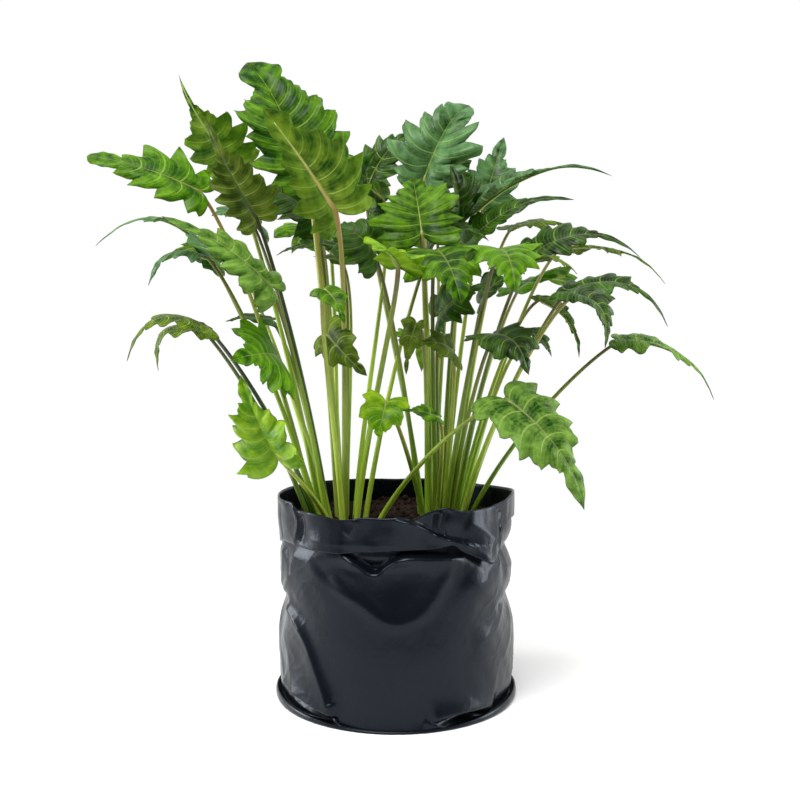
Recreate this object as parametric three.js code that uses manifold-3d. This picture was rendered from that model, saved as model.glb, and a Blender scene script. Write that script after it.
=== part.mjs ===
// Potted philodendron lacerum: a bushy philodendron with lobed leaves, growing in two clumps
// from the soil of a black polythene grow bag whose top is folded outward into a cuff.
// Millimetres, +Z up, front towards -Y. The origin is the middle of the bag's flat base.
import * as THREE from 'three';
import Module from 'manifold-3d';

const wasm = await Module();
wasm.setup();

// Bag
const bagHeight = 195;
const rimRadius = 116;
const wallInset = 1.4;
const flangeRadius = 120;
const flangeThickness = 3;
const filmThickness = 2.2;
const cuffDrop = 43;
const cuffStep = 3.4;
const bagFloor = 3;
const cornerInset = 2;
const turnsAround = 48;

// The wall is drawn in at its foot, above the weld, and a little at its waist.
const footDraw = 4;
const footFade = 14;
const waistDraw = 1.8;
const waistHeight = 96;
const waistSpan = 16;

// Soil
const soilClearance = 0.35;
const soilTop = 174;
const soilRelief = 3;
const footHeight = 152;

// Leaves
const bladeThickness = 0.8;
const stalkTopRadius = 1.7;
const stalkTaperPower = 1.6;
const footSpacing = 8;
const socketClearance = 0.35;

// Places in the leaf table are given as they look from the front. Across and up are measured
// in the upright plane through the bag's axis, and depth moves the point along the line of
// sight from the eye, so a leaf keeps its place in the front view however deep it stands.
const eye = new THREE.Vector3(4, -1100, 392);

function seen([across, up, depth]) {
  const scale = (depth - eye.y) / -eye.y;
  return new THREE.Vector3(
    eye.x + (across - eye.x) * scale,
    depth,
    eye.z + (up - eye.z) * scale,
  );
}

// The two clumps: where each stands in the soil, how far its feet spread and how thick they are.
const clumps = {
  left: { centre: new THREE.Vector2(-50, 0), spread: 29, footRadius: 3.2 },
  right: { centre: new THREE.Vector2(41, 34), spread: 26, footRadius: 3.0 },
};

// One row for each leaf. base and tip are the ends of the blade's midrib, face is the way its
// upper side looks, and reach is the length of its longest side vein. arch lifts the middle of
// the midrib off the straight line, fold is the angle that each half is raised by, curl bends
// the last part of the tip down, taper shortens the lobes towards the tip, stout thickens the
// stalk, and tone is the leaf's colour where it isn't plain green.
const leaves = [
  // Left clump, outer leaves on the left
  { clump: 'left', base: [-190, 494, -20], tip: [-297, 527, -30], face: [0.22, -0.66, 0.72],
    reach: 40, fold: 15, lobes: 6, arch: 6 },
  { clump: 'left', base: [-162, 523, 35], tip: [-212, 604, 25], face: [0.1, 0.95, 0.2],
    reach: 44, fold: 36, arch: -6, curl: -10, taper: 0.3, tone: 'lime' },
  { clump: 'left', base: [-135, 469, -30], tip: [-183, 564, -35], face: [0.41, 0.89, 0.21],
    reach: 40, fold: 28, arch: -5, taper: 0.2, tone: 'olive' },
  { clump: 'left', base: [-86, 514, -5], tip: [-140, 619, 15], face: [0.42, -0.88, 0.21],
    reach: 60, fold: 30, arch: 8, curl: 8, stout: 1.9, tone: 'dark' },
  { clump: 'left', base: [-59, 477, -76], tip: [-127, 572, -78], face: [0.47, 0.82, 0.33],
    reach: 52, fold: 35, arch: 3, stout: 1.3, tone: 'lime' },
  { clump: 'left', base: [-123, 404, -82], tip: [-227, 470, -98], face: [0.49, -0.4, 0.78],
    reach: 45, fold: 16, arch: 8 },
  { clump: 'left', base: [-177, 427, -38], tip: [-289, 453, -48], face: [-0.1, -0.15, 0.98],
    reach: 36, fold: 14, arch: 26, curl: 12, taper: 0.3, tone: 'dark' },
  { clump: 'left', base: [-182, 429, -68], tip: [-243, 411, -90], face: [-0.1, -0.1, 0.98],
    reach: 26, fold: 10, arch: 14, curl: 8, lobes: 4, tone: 'dark' },
  { clump: 'left', base: [-188, 366, -120], tip: [-265, 334, -140], face: [-0.1, -0.3, 0.94],
    reach: 28, fold: -18, arch: 20, curl: 5, taper: 0.2, tone: 'dark' },
  { clump: 'left', base: [-190, 361, -45], tip: [-237, 326, -60], face: [-0.2, -0.3, 0.93],
    reach: 26, fold: -20, arch: 20, curl: 8, lobes: 4, tone: 'dark' },
  { clump: 'left', base: [-116, 334, -60], tip: [-162, 330, -125], face: [0.6, -0.6, 0.55],
    reach: 44, fold: 12, arch: 8, lobes: 6 },
  { clump: 'left', base: [-117, 236, -85], tip: [-152, 316, -110], face: [-0.51, -0.83, -0.21],
    reach: 44, fold: 34, arch: 4, tone: 'lime' },
  { clump: 'left', base: [-122, 370, 48], tip: [-166, 368, 44], face: [0, -0.3, 0.95],
    reach: 22, fold: 12, arch: 4, lobes: 3, tone: 'dark' },
  // Left clump, the middle of the crown
  { clump: 'left', base: [-139, 464, 95], tip: [-178, 470, 60], face: [0, -0.4, 0.9],
    reach: 34, fold: 15, arch: 8, lobes: 4, tone: 'dark' },
  { clump: 'left', base: [-81, 471, 45], tip: [-135, 497, 63], face: [0.1, -0.6, 0.75],
    reach: 44, fold: 20, arch: 8, tone: 'dark' },
  { clump: 'left', base: [-78, 504, 100], tip: [-118, 512, 100], face: [0, -0.5, 0.8],
    reach: 30, fold: 20, arch: 4, lobes: 4, tone: 'dark' },
  { clump: 'left', base: [-60, 441, 20], tip: [-116, 432, 12], face: [0, -0.3, 0.93],
    reach: 22, fold: 20, arch: 6, lobes: 4, tone: 'dark' },
  { clump: 'right', base: [-22, 437, -24], tip: [-58, 460, -18], face: [0.2, -0.7, 0.65],
    reach: 36, fold: 20, arch: 6, tone: 'dark' },
  { clump: 'left', base: [-13, 486, 45], tip: [-18, 532, -10], face: [-0.2, -0.75, 0.5],
    reach: 42, fold: 35, arch: 14, tone: 'dark' },
  { clump: 'right', base: [-28, 495, 110], tip: [22, 556, 110], face: [-0.35, -0.75, 0.5],
    reach: 40, fold: 25, arch: 12, curl: 14, tone: 'dark' },
  { clump: 'left', base: [2, 423, -92], tip: [-22, 436, -140], face: [0, -0.45, 0.85],
    reach: 32, fold: 30, arch: 6, lobes: 4, stout: 1.3, tone: 'lime' },
  { clump: 'left', base: [-69, 399, -112], tip: [-50, 366, -132], face: [0.3, -0.8, 0.5],
    reach: 17, fold: 20, arch: 6, lobes: 3 },
  { clump: 'left', base: [-66, 355, -42], tip: [-28, 315, -76], face: [-0.3, -0.8, 0.1],
    reach: 26, fold: 20, arch: 4, lobes: 3, tone: 'olive' },
  { clump: 'right', base: [-10, 288, -80], tip: [-18, 255, -95], face: [0.1, -0.85, 0.5],
    reach: 24, fold: 20, arch: 4, lobes: 3, tone: 'lime' },
  { clump: 'left', base: [110, 291, -110], tip: [191, 185, -135], face: [0.35, -0.75, 0.55],
    reach: 47, fold: 12, arch: 14, curl: 8 },
  { clump: 'left', base: [-52, 425, 60], tip: [-80, 431, 55], face: [0, -0.3, 0.95],
    reach: 16, fold: 15, arch: 3, lobes: 3, tone: 'olive' },
  // Left clump, behind
  { clump: 'left', base: [-150, 420, 130], tip: [-225, 432, 190], face: [-0.2, 0.4, 0.9],
    reach: 44, fold: 20, arch: 16, curl: 8 },
  { clump: 'left', base: [-70, 440, 150], tip: [-100, 440, 255], face: [0, 0.4, 0.9],
    reach: 46, fold: 20, arch: 18, curl: 8 },
  // Right clump, the crown
  { clump: 'right', base: [28, 507, 60], tip: [68, 580, 75], face: [-0.2, -0.85, 0.5],
    reach: 50, fold: 18, arch: 10, curl: 12, tone: 'dark' },
  { clump: 'right', base: [25, 454, -28], tip: [16, 507, 12], face: [0, -0.75, 0.65],
    reach: 46, fold: 28, arch: 4, stout: 1.3 },
  { clump: 'right', base: [33, 500, 125], tip: [80, 538, 145], face: [-0.1, -0.7, 0.65],
    reach: 40, fold: 20, arch: 8, tone: 'dark' },
  { clump: 'right', base: [57, 468, 36], tip: [52, 518, 4], face: [0.2, -0.6, 0.6],
    reach: 36, fold: 30, arch: 6, tone: 'dark' },
  { clump: 'right', base: [74, 471, 70], tip: [205, 520, 60], face: [-0.35, -0.2, 0.9],
    reach: 48, fold: 38, arch: 16, curl: 14, taper: 0.6 },
  { clump: 'right', base: [84, 478, 125], tip: [104, 545, 150], face: [0, -0.85, 0.4],
    reach: 36, fold: 18, arch: 6, tone: 'dark' },
  { clump: 'right', base: [68, 442, 42], tip: [168, 493, 10], face: [-0.4, -0.45, 0.75],
    reach: 32, fold: 20, arch: 12, curl: 10, tone: 'dark' },
  { clump: 'right', base: [112, 458, 130], tip: [178, 456, 150], face: [0, -0.1, 0.98],
    reach: 30, fold: 15, arch: 8, curl: 6, tone: 'olive' },
  { clump: 'right', base: [128, 430, 0], tip: [236, 441, -20], face: [-0.15, -0.45, 0.87],
    reach: 42, fold: 22, arch: 18, curl: 12, taper: 0.35, tone: 'dark' },
  { clump: 'right', base: [160, 439, 95], tip: [264, 413, 105], face: [0.1, 0, 0.98],
    reach: 30, fold: 10, arch: 12, curl: 10, taper: 0.3, tone: 'olive' },
  { clump: 'right', base: [100, 438, -92], tip: [116, 396, -138], face: [0.15, -0.85, 0.4],
    reach: 40, fold: 15, arch: 12 },
  { clump: 'right', base: [39, 437, -40], tip: [64, 384, -95], face: [0.1, -0.75, 0.6],
    reach: 48, fold: 15, arch: 12 },
  { clump: 'left', base: [36, 443, 4], tip: [90, 446, -6], face: [0, -0.4, 0.9],
    reach: 26, fold: 20, arch: 14, tone: 'dark' },
  { clump: 'right', base: [127, 424, -50], tip: [176, 414, -60], face: [0, -0.05, 0.98],
    reach: 24, fold: 15, arch: 10, lobes: 4, tone: 'olive' },
  { clump: 'right', base: [168, 398, -30], tip: [268, 372, -45], face: [0.2, -0.35, 0.9],
    reach: 38, fold: 18, arch: 20, curl: 10, taper: 0.4, tone: 'dark' },
  { clump: 'right', base: [174, 394, -95], tip: [204, 342, -115], face: [0.55, -0.6, 0.45],
    reach: 28, fold: 22, arch: 16, lobes: 4, tone: 'dark' },
  { clump: 'right', base: [140, 389, 70], tip: [179, 333, 80], face: [0.6, 0.1, 0.7],
    reach: 22, fold: 30, arch: 12, lobes: 4, tone: 'dark' },
  { clump: 'right', base: [220, 350, 30], tip: [315, 296, 20], face: [0.4, -0.2, 0.88],
    reach: 34, fold: 20, arch: 16, curl: 6, taper: 0.3 },
  { clump: 'right', base: [98, 356, -70], tip: [130, 316, -100], face: [0.3, -0.7, 0.6],
    reach: 34, fold: 15, arch: 12, lobes: 4, tone: 'dark' },
  { clump: 'right', base: [132, 357, 10], tip: [152, 334, 0], face: [0.5, -0.5, 0.7],
    reach: 16, fold: 20, arch: 4, lobes: 3, tone: 'dark' },
  { clump: 'right', base: [55, 340, -45], tip: [20, 346, -60], face: [0.2, -0.6, 0.75],
    reach: 26, fold: 15, arch: 6, lobes: 3, tone: 'olive' },
  { clump: 'right', base: [42, 274, -60], tip: [6, 281, -66], face: [0, -0.5, 0.85],
    reach: 14, fold: 20, arch: 3, lobes: 3 },
  { clump: 'right', base: [44, 376, 0], tip: [88, 404, -15], face: [0.1, -0.6, 0.75],
    reach: 34, fold: 20, arch: 6, lobes: 4, tone: 'dark' },
  { clump: 'right', base: [84, 389, 35], tip: [114, 412, 15], face: [0.2, -0.6, 0.75],
    reach: 28, fold: 20, arch: 6, lobes: 4, tone: 'dark' },
  { clump: 'right', base: [20, 366, -46], tip: [10, 316, -54], face: [-0.4, -0.8, 0.2],
    reach: 14, fold: 30, arch: 5, lobes: 3, tone: 'olive' },
  // Right clump, behind
  { clump: 'right', base: [40, 450, 170], tip: [20, 455, 270], face: [0, 0.4, 0.9],
    reach: 46, fold: 20, arch: 18, curl: 8 },
  { clump: 'right', base: [120, 400, 160], tip: [190, 390, 225], face: [0.3, 0.4, 0.86],
    reach: 44, fold: 20, arch: 18, curl: 8 },
  { clump: 'right', base: [30, 350, 165], tip: [25, 325, 260], face: [0, 0.5, 0.86],
    reach: 42, fold: 20, arch: 16, curl: 8 },
];

// A closed mesh from points and triangles.
function meshGeometry(points, triangles) {
  const geometry = new THREE.BufferGeometry();
  const positions = points.flatMap((p) => [p.x, p.y, p.z]);
  geometry.setAttribute('position', new THREE.Float32BufferAttribute(positions, 3));
  geometry.setIndex(triangles.flat());
  geometry.computeVertexNormals();
  return geometry;
}

// Feet of one clump. Each foot first stands on its own leaf's side, further out for a leaf
// that leans further out, and then the crowded feet push apart to the spacing of their sheaths.
const fullLean = 190;
const leanPower = 0.7;
const settlingRounds = 120;
const settlingShare = 0.3;

function settleFeet(members, clump) {
  const feet = members.map((leaf) => {
    const base = seen(leaf.base);
    const lean = new THREE.Vector2(base.x, base.y).sub(clump.centre);
    const offset = clump.spread * Math.min(1, lean.length() / fullLean) ** leanPower;
    return lean.normalize().multiplyScalar(offset).add(clump.centre);
  });
  for (let round = 0; round < settlingRounds; round += 1) {
    const pushes = feet.map(() => new THREE.Vector2());
    for (let i = 0; i < feet.length; i += 1) {
      for (let j = i + 1; j < feet.length; j += 1) {
        const apart = feet[j].clone().sub(feet[i]);
        const short = footSpacing - apart.length();
        if (short > 0) {
          apart.normalize().multiplyScalar(short * settlingShare);
          pushes[i].sub(apart);
          pushes[j].add(apart);
        }
      }
    }
    feet.forEach((foot, i) => foot.add(pushes[i]));
  }
  return feet;
}

// A blade's midrib, its sideways direction and its own up direction, at a place t along it.
const curlStart = 0.6;

function bladeFrame(leaf) {
  const base = seen(leaf.base);
  const tip = seen(leaf.tip);
  const chord = tip.clone().sub(base);
  const length = chord.length();
  const forward = chord.clone().normalize();
  const side = forward.clone().cross(new THREE.Vector3(...leaf.face)).normalize();
  const up = side.clone().cross(forward);
  const arch = leaf.arch ?? 8;
  const curl = leaf.curl ?? 0;
  const bend = (t) => Math.max(0, (t - curlStart) / (1 - curlStart));

  function point(t) {
    const lift = arch * 4 * t * (1 - t) - curl * bend(t) ** 2;
    return base.clone().addScaledVector(chord, t).addScaledVector(up, lift);
  }

  function tangent(t) {
    const slope = arch * 4 * (1 - 2 * t) - curl * 2 * bend(t) / (1 - curlStart);
    return chord.clone().addScaledVector(up, slope).normalize();
  }

  function place(along, across, height) {
    const t = along / length;
    const normal = side.clone().cross(tangent(t));
    return point(t).addScaledVector(side, across).addScaledVector(normal, height);
  }

  return { base, length, side, tangent, place };
}

// Six points of a stalk's section, from the underside on the left round to the top on the left.
const sectionAngles = [210, 270, 330, 30, 90, 150].map((angle) => angle * Math.PI / 180);

function stalkRing(centre, side, up, radius) {
  return sectionAngles.map((angle) => centre.clone()
    .addScaledVector(side, radius * Math.cos(angle))
    .addScaledVector(up, radius * Math.sin(angle)));
}

// The stalk is one cubic curve. It leaves the soil turned towards the upright and meets the
// blade turned towards the midrib. Its handles are shares of the distance between its ends.
const uprightShare = 0.45;
const midribShare = 0.55;
const footHandle = 0.4;
const bladeHandle = 0.12;

function stalkCurve(foot, frame) {
  const base = frame.base;
  const start = new THREE.Vector3(foot.x, foot.y, footHeight);
  const span = base.clone().sub(start);
  const distance = span.length();
  const straight = span.clone().normalize();
  const upright = new THREE.Vector3(0, 0, 1);
  const leave = straight.clone().lerp(upright, uprightShare).normalize();
  const arrive = straight.clone().lerp(frame.tangent(0), midribShare).normalize();
  const lower = start.clone().addScaledVector(leave, distance * footHandle);
  const upper = base.clone().addScaledVector(arrive, -distance * bladeHandle);
  return new THREE.CubicBezierCurve3(start, lower, upper, base);
}

// Rings of the stalk from the foot to the blade. The section turns as little as it can along
// the curve, and is worked out backwards from the blade, so that the two meet untwisted.
const stalkSteps = [0, 0.2, 0.42, 0.64, 0.84, 0.95];

function stalkRings(leaf, foot, frame, grow = 0) {
  const curve = stalkCurve(foot, frame);
  const { footRadius } = clumps[leaf.clump];
  const rings = [];
  let side = frame.side.clone();
  for (const t of [...stalkSteps].reverse()) {
    const along = curve.getTangent(t);
    side = side.addScaledVector(along, -side.dot(along)).normalize();
    const up = side.clone().cross(along);
    const taper = (footRadius - stalkTopRadius) * (1 - t) ** stalkTaperPower;
    const stout = 1 + ((leaf.stout ?? 1) - 1) * t;
    const radius = (stalkTopRadius + taper) * stout + grow;
    rings.unshift(stalkRing(curve.getPoint(t), side, up, radius));
  }
  return rings;
}

// Outline of the blade: side veins with their start along the midrib, as a share of its length,
// their angle to it in degrees, and their length. A vein to a lobe is long and a vein to the
// notch between two lobes is short. Past the lobes the end of the blade is narrow.
const firstVein = 0.01;
const veinSpan = 0.52;
const firstVeinAngle = 102;
const lastVeinAngle = 44;
const endFullness = 0.62;
const middleFullness = 0.4;
const fullestPower = 1.1;
const notchDepth = 0.4;
const notchShift = 0.012;
const narrowEnd = [{ start: 0.6, angle: 44 }, { start: 0.8, angle: 42 }];
const narrowEndWidth = 0.3;

function veins(leaf) {
  const lobes = leaf.lobes ?? 5;
  const taper = leaf.taper ?? 0;
  const list = [];
  for (let k = 0; k < 2 * lobes - 1; k += 1) {
    const q = k / (2 * lobes - 2);
    const fullness = endFullness + middleFullness * Math.sin(Math.PI * q ** fullestPower);
    const isLobe = k % 2 === 0;
    list.push({
      start: firstVein + veinSpan * q + (isLobe ? 0 : notchShift),
      angle: firstVeinAngle + (lastVeinAngle - firstVeinAngle) * q,
      length: leaf.reach * fullness * (1 - taper * q) * (isLobe ? 1 : 1 - notchDepth),
    });
  }
  for (const { start, angle } of narrowEnd) {
    list.push({ start, angle, length: leaf.reach * narrowEndWidth * (1 - taper) });
  }
  return list;
}

// Rings of the blade: edge, midrib and edge on the underside, then the same on the upper side.
// The midrib stands out below as a keel that thins towards the tip.
const tipHalfWidth = 0.35;

function bladeRings(leaf, frame) {
  const half = bladeThickness / 2;
  const fold = (leaf.fold ?? 20) * Math.PI / 180;
  const ring = (along, edgeAlong, across, raised, keel) => [
    frame.place(edgeAlong, -across, raised - half),
    frame.place(along, 0, -keel),
    frame.place(edgeAlong, across, raised - half),
    frame.place(edgeAlong, across, raised + half),
    frame.place(along, 0, half),
    frame.place(edgeAlong, -across, raised + half),
  ];
  const rings = veins(leaf).map(({ start, angle, length }) => {
    const turn = angle * Math.PI / 180;
    const along = start * frame.length;
    const out = length * Math.sin(turn);
    const keel = stalkTopRadius * (1 - start) + half;
    return ring(
      along,
      along + length * Math.cos(turn),
      out * Math.cos(fold),
      out * Math.sin(fold),
      keel,
    );
  });
  return [...rings, ring(frame.length, frame.length, tipHalfWidth, 0, half)];
}

// Joins six-point rings into one closed skin. Both faces of the blade are split alike.
const crossedQuads = [0, 3];

function loft(rings) {
  const triangles = [];
  const at = (ring, i) => ring * 6 + (i % 6);
  for (let ring = 0; ring < rings.length - 1; ring += 1) {
    for (let i = 0; i < 6; i += 1) {
      const a = at(ring, i);
      const b = at(ring, i + 1);
      const c = at(ring + 1, i + 1);
      const d = at(ring + 1, i);
      if (crossedQuads.includes(i)) {
        triangles.push([a, d, c], [a, c, b]);
      } else {
        triangles.push([a, d, b], [b, d, c]);
      }
    }
  }
  const last = rings.length - 1;
  for (let i = 1; i < 5; i += 1) {
    triangles.push([at(0, 0), at(0, i), at(0, i + 1)]);
    triangles.push([at(last, 0), at(last, i + 1), at(last, i)]);
  }
  return meshGeometry(rings.flat(), triangles);
}

function leafGeometry(leaf, foot) {
  const frame = bladeFrame(leaf);
  return loft([...stalkRings(leaf, foot, frame), ...bladeRings(leaf, frame)]);
}

// The plain hole that a stalk stands in: the stalk's own lower end, a little larger.
function socketGeometry(leaf, foot) {
  const frame = bladeFrame(leaf);
  const rings = stalkRings(leaf, foot, frame, socketClearance).slice(0, 2);
  rings[0].forEach((point) => { point.z -= socketClearance; });
  return loft(rings);
}

// Folds of the film: each runs between two places on the wall, given by the angle round from
// the front and the height, and stands out, or sinks in, by its depth over its width.
const folds = [
  { from: [-115, 90], to: [-55, 99], depth: -5, width: 9 },
  { from: [50, 101], to: [112, 93], depth: -5, width: 9 },
  { from: [72, 153], to: [104, 149], depth: -8, width: 11 },
  { from: [-70, 92], to: [-28, 20], depth: 4, width: 12 },
  { from: [-35, 146], to: [-16, 128], depth: -4, width: 10 },
  { from: [-16, 128], to: [2, 146], depth: -3, width: 10 },
  { from: [-18, 116], to: [-6, 101], depth: -3, width: 11 },
  { from: [-6, 101], to: [12, 108], depth: -3, width: 11 },
  { from: [12, 108], to: [24, 146], depth: -3, width: 11 },
  { from: [14, 11], to: [56, 14], depth: -3, width: 9 },
  { from: [150, 120], to: [200, 60], depth: -4, width: 14 },
  { from: [-160, 130], to: [-120, 50], depth: 3, width: 13 },
];

function foldDepth(angle, height) {
  const turn = 2 * Math.PI;
  let total = 0;
  for (const { from, to, depth, width } of folds) {
    const start = new THREE.Vector2(from[0] * Math.PI / 180 * rimRadius, from[1]);
    const end = new THREE.Vector2(to[0] * Math.PI / 180 * rimRadius, to[1]);
    const middle = (from[0] + to[0]) / 2 * Math.PI / 180;
    const nearest = angle + turn * Math.round((middle - angle) / turn);
    const here = new THREE.Vector2(nearest * rimRadius, height);
    const run = end.clone().sub(start);
    const t = Math.min(1, Math.max(0, here.clone().sub(start).dot(run) / run.lengthSq()));
    const away = here.distanceTo(start.addScaledVector(run, t));
    total += depth * Math.exp(-((away / width) ** 2));
  }
  return total;
}

function wallRadius(angle, height) {
  const foot = footDraw * Math.exp(-height / footFade);
  const waist = waistDraw * Math.exp(-(((height - waistHeight) / waistSpan) ** 2));
  return rimRadius - wallInset - foot - waist + foldDepth(angle, height);
}

// A body with a ring of points for each height, closed at the axis at both ends. Each ring is
// a height and a function that gives the radius at an angle round from the front. A face is
// split from its lower to its upper corner the same way round on a wall's two sides.
function ringedGeometry(startHeight, rings, endHeight) {
  const points = [new THREE.Vector3(0, 0, startHeight)];
  for (const { height, radius } of rings) {
    for (let i = 0; i < turnsAround; i += 1) {
      const angle = i / turnsAround * 2 * Math.PI;
      const r = radius(angle);
      const z = typeof height === 'function' ? height(angle) : height;
      points.push(new THREE.Vector3(r * Math.sin(angle), -r * Math.cos(angle), z));
    }
  }
  points.push(new THREE.Vector3(0, 0, endHeight));
  const triangles = [];
  const at = (ring, i) => 1 + ring * turnsAround + (i % turnsAround);
  for (let i = 0; i < turnsAround; i += 1) {
    triangles.push([0, at(0, i + 1), at(0, i)]);
    for (let ring = 0; ring < rings.length - 1; ring += 1) {
      const a = at(ring, i);
      const b = at(ring, i + 1);
      const c = at(ring + 1, i + 1);
      const d = at(ring + 1, i);
      const rising = points[d].z >= points[a].z;
      if (rising) {
        triangles.push([a, b, c], [a, c, d]);
      } else {
        triangles.push([a, b, d], [b, c, d]);
      }
    }
    triangles.push([at(rings.length - 1, i), at(rings.length - 1, i + 1), points.length - 1]);
  }
  return meshGeometry(points, triangles);
}

// Heights of the rings that the bag's outside, its inside and the soil's side share.
const wallHeights = [8, 28, 50, 74, 96, 116, 134];
const cuffBottom = bagHeight - cuffDrop;
const underCuff = cuffBottom - 1;
const soilEdge = soilTop - 2;
const wallFoot = flangeThickness + 1;

// The bag: flat base with its weld flange, wall, cuff folded outward, rim and inside.
function bagGeometry() {
  const ring = (height, step) => ({
    height,
    radius: (angle) => wallRadius(angle, height) + step,
  });
  const wall = (height) => ring(height, 0);
  const cuff = (height) => ring(height, cuffStep);
  const inner = (height) => ring(height, -filmThickness);
  const rings = [
    { height: 0, radius: () => flangeRadius - 1 },
    { height: flangeThickness, radius: () => flangeRadius },
    wall(wallFoot),
    ...wallHeights.map(wall),
    wall(underCuff),
    cuff(cuffBottom),
    cuff(cuffBottom + 14),
    cuff(cuffBottom + 30),
    cuff(bagHeight - 2),
    wall(bagHeight),
    inner(bagHeight - 4),
    inner(soilEdge),
    inner(underCuff),
    ...[...wallHeights].reverse().map(inner),
    ring(bagFloor, -filmThickness - cornerInset),
  ];
  return ringedGeometry(0, rings, bagFloor);
}

// Crumbly soil: its top rises and falls in small lumps, made of two crossed waves.
const lumps = [
  { share: 0.62, across: 0.19, deep: 0.23, shift: [1.3, 0.4] },
  { share: 0.38, across: 0.41, deep: 0.37, shift: [-0.7, 2.1] },
];

function soilHeight(x, y) {
  const rise = lumps.reduce((sum, { share, across, deep, shift }) => (
    sum + share * Math.sin(x * across + shift[0]) * Math.sin(y * deep + shift[1])
  ), 0);
  return soilTop + soilRelief * rise;
}

function soilGeometry() {
  const gap = filmThickness + soilClearance;
  const side = (height, inset = 0) => ({
    height,
    radius: (angle) => wallRadius(angle, height) - gap - inset,
  });
  const top = (share) => ({
    radius: () => rimRadius * share,
    height: (angle) => soilHeight(
      rimRadius * share * Math.sin(angle),
      -rimRadius * share * Math.cos(angle),
    ),
  });
  const bottom = bagFloor + soilClearance;
  const rings = [
    side(bottom, cornerInset + soilClearance),
    ...wallHeights.map((height) => side(height)),
    side(underCuff),
    side(soilEdge),
    top(0.86),
    top(0.66),
    top(0.42),
    top(0.2),
  ];
  return ringedGeometry(bottom, rings, soilHeight(0, 0));
}

// A body with other bodies cut out of it.
function toSolid(geometry) {
  return new wasm.Manifold(new wasm.Mesh({
    numProp: 3,
    vertProperties: new Float32Array(geometry.attributes.position.array),
    triVerts: new Uint32Array(geometry.index.array),
  }));
}

function cutOut(body, holes) {
  const solid = holes.reduce((left, hole) => left.subtract(toSolid(hole)), toSolid(body));
  const mesh = solid.getMesh();
  const geometry = new THREE.BufferGeometry();
  geometry.setAttribute('position', new THREE.Float32BufferAttribute(mesh.vertProperties, 3));
  geometry.setIndex(Array.from(mesh.triVerts));
  geometry.computeVertexNormals();
  return geometry;
}

// Finishes: semi-gloss black film, damp dark soil, and leaves from dark glossy upper faces to
// the lime green of young leaves and of undersides with the light behind them.
const finishes = {
  film: { color: 0x22252b, roughness: 0.38 },
  soil: { color: 0x2c1b12, roughness: 0.95 },
  green: { color: 0x3c7a26, roughness: 0.4 },
  dark: { color: 0x27452a, roughness: 0.35 },
  olive: { color: 0x5c6b22, roughness: 0.45 },
  lime: { color: 0x8fb02c, roughness: 0.5 },
};

function subPart(name, geometry, finish) {
  const material = new THREE.MeshStandardMaterial({ ...finishes[finish], metalness: 0 });
  const mesh = new THREE.Mesh(geometry, material);
  mesh.name = name;
  return mesh;
}

const group = new THREE.Group();
const footOf = new Map();
for (const [name, clump] of Object.entries(clumps)) {
  const members = leaves.filter((leaf) => leaf.clump === name);
  settleFeet(members, clump).forEach((foot, i) => footOf.set(members[i], foot));
}

const sockets = leaves.map((leaf) => socketGeometry(leaf, footOf.get(leaf)));
group.add(subPart('grow_bag', bagGeometry(), 'film'));
group.add(subPart('potting_soil', cutOut(soilGeometry(), sockets), 'soil'));
leaves.forEach((leaf, i) => {
  const name = `leaf_${String(i + 1).padStart(2, '0')}`;
  group.add(subPart(name, leafGeometry(leaf, footOf.get(leaf)), leaf.tone ?? 'green'));
});

export default group;
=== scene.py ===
# Potted philodendron lacerum: two clumps of lobed leaves on long stalks, growing from crumbly
# soil in a black polythene grow bag with a folded cuff. Shapes are worked out in millimetres
# and put into the meshes in metres. Up is +Z and the front looks towards -Y.
import math

import bpy
import numpy as np
from mathutils import Matrix


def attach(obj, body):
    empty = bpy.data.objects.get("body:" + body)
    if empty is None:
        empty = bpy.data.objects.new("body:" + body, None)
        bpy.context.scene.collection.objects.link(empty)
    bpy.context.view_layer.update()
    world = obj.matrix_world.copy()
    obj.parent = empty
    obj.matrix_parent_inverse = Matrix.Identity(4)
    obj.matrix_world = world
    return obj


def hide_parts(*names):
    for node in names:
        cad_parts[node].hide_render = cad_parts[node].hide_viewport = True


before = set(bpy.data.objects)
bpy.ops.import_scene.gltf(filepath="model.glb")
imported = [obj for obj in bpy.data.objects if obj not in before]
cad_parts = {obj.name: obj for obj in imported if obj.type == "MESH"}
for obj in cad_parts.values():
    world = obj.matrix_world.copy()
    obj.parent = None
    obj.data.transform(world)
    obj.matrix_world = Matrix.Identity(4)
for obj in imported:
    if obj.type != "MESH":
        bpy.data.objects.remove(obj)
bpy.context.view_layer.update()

MM = 0.001
TAU = 2 * math.pi


# Camera: low and in front, looking slightly down, as the photograph was taken. The lens is in
# millimetres for a sensor 36 wide, and the tilt in radians.
EYE = np.array((4.0, -1100.0, 392.0))
LENS = 50.7
TILT_DOWN = 0.0911


def place_camera():
    data = bpy.data.cameras.new("camera")
    data.lens = LENS
    data.sensor_width = 36
    camera = bpy.data.objects.new("camera", data)
    camera.location = EYE * MM
    camera.rotation_euler = (math.pi / 2 - TILT_DOWN, 0, 0)
    bpy.context.scene.collection.objects.link(camera)
    bpy.context.scene.camera = camera


place_camera()


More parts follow.
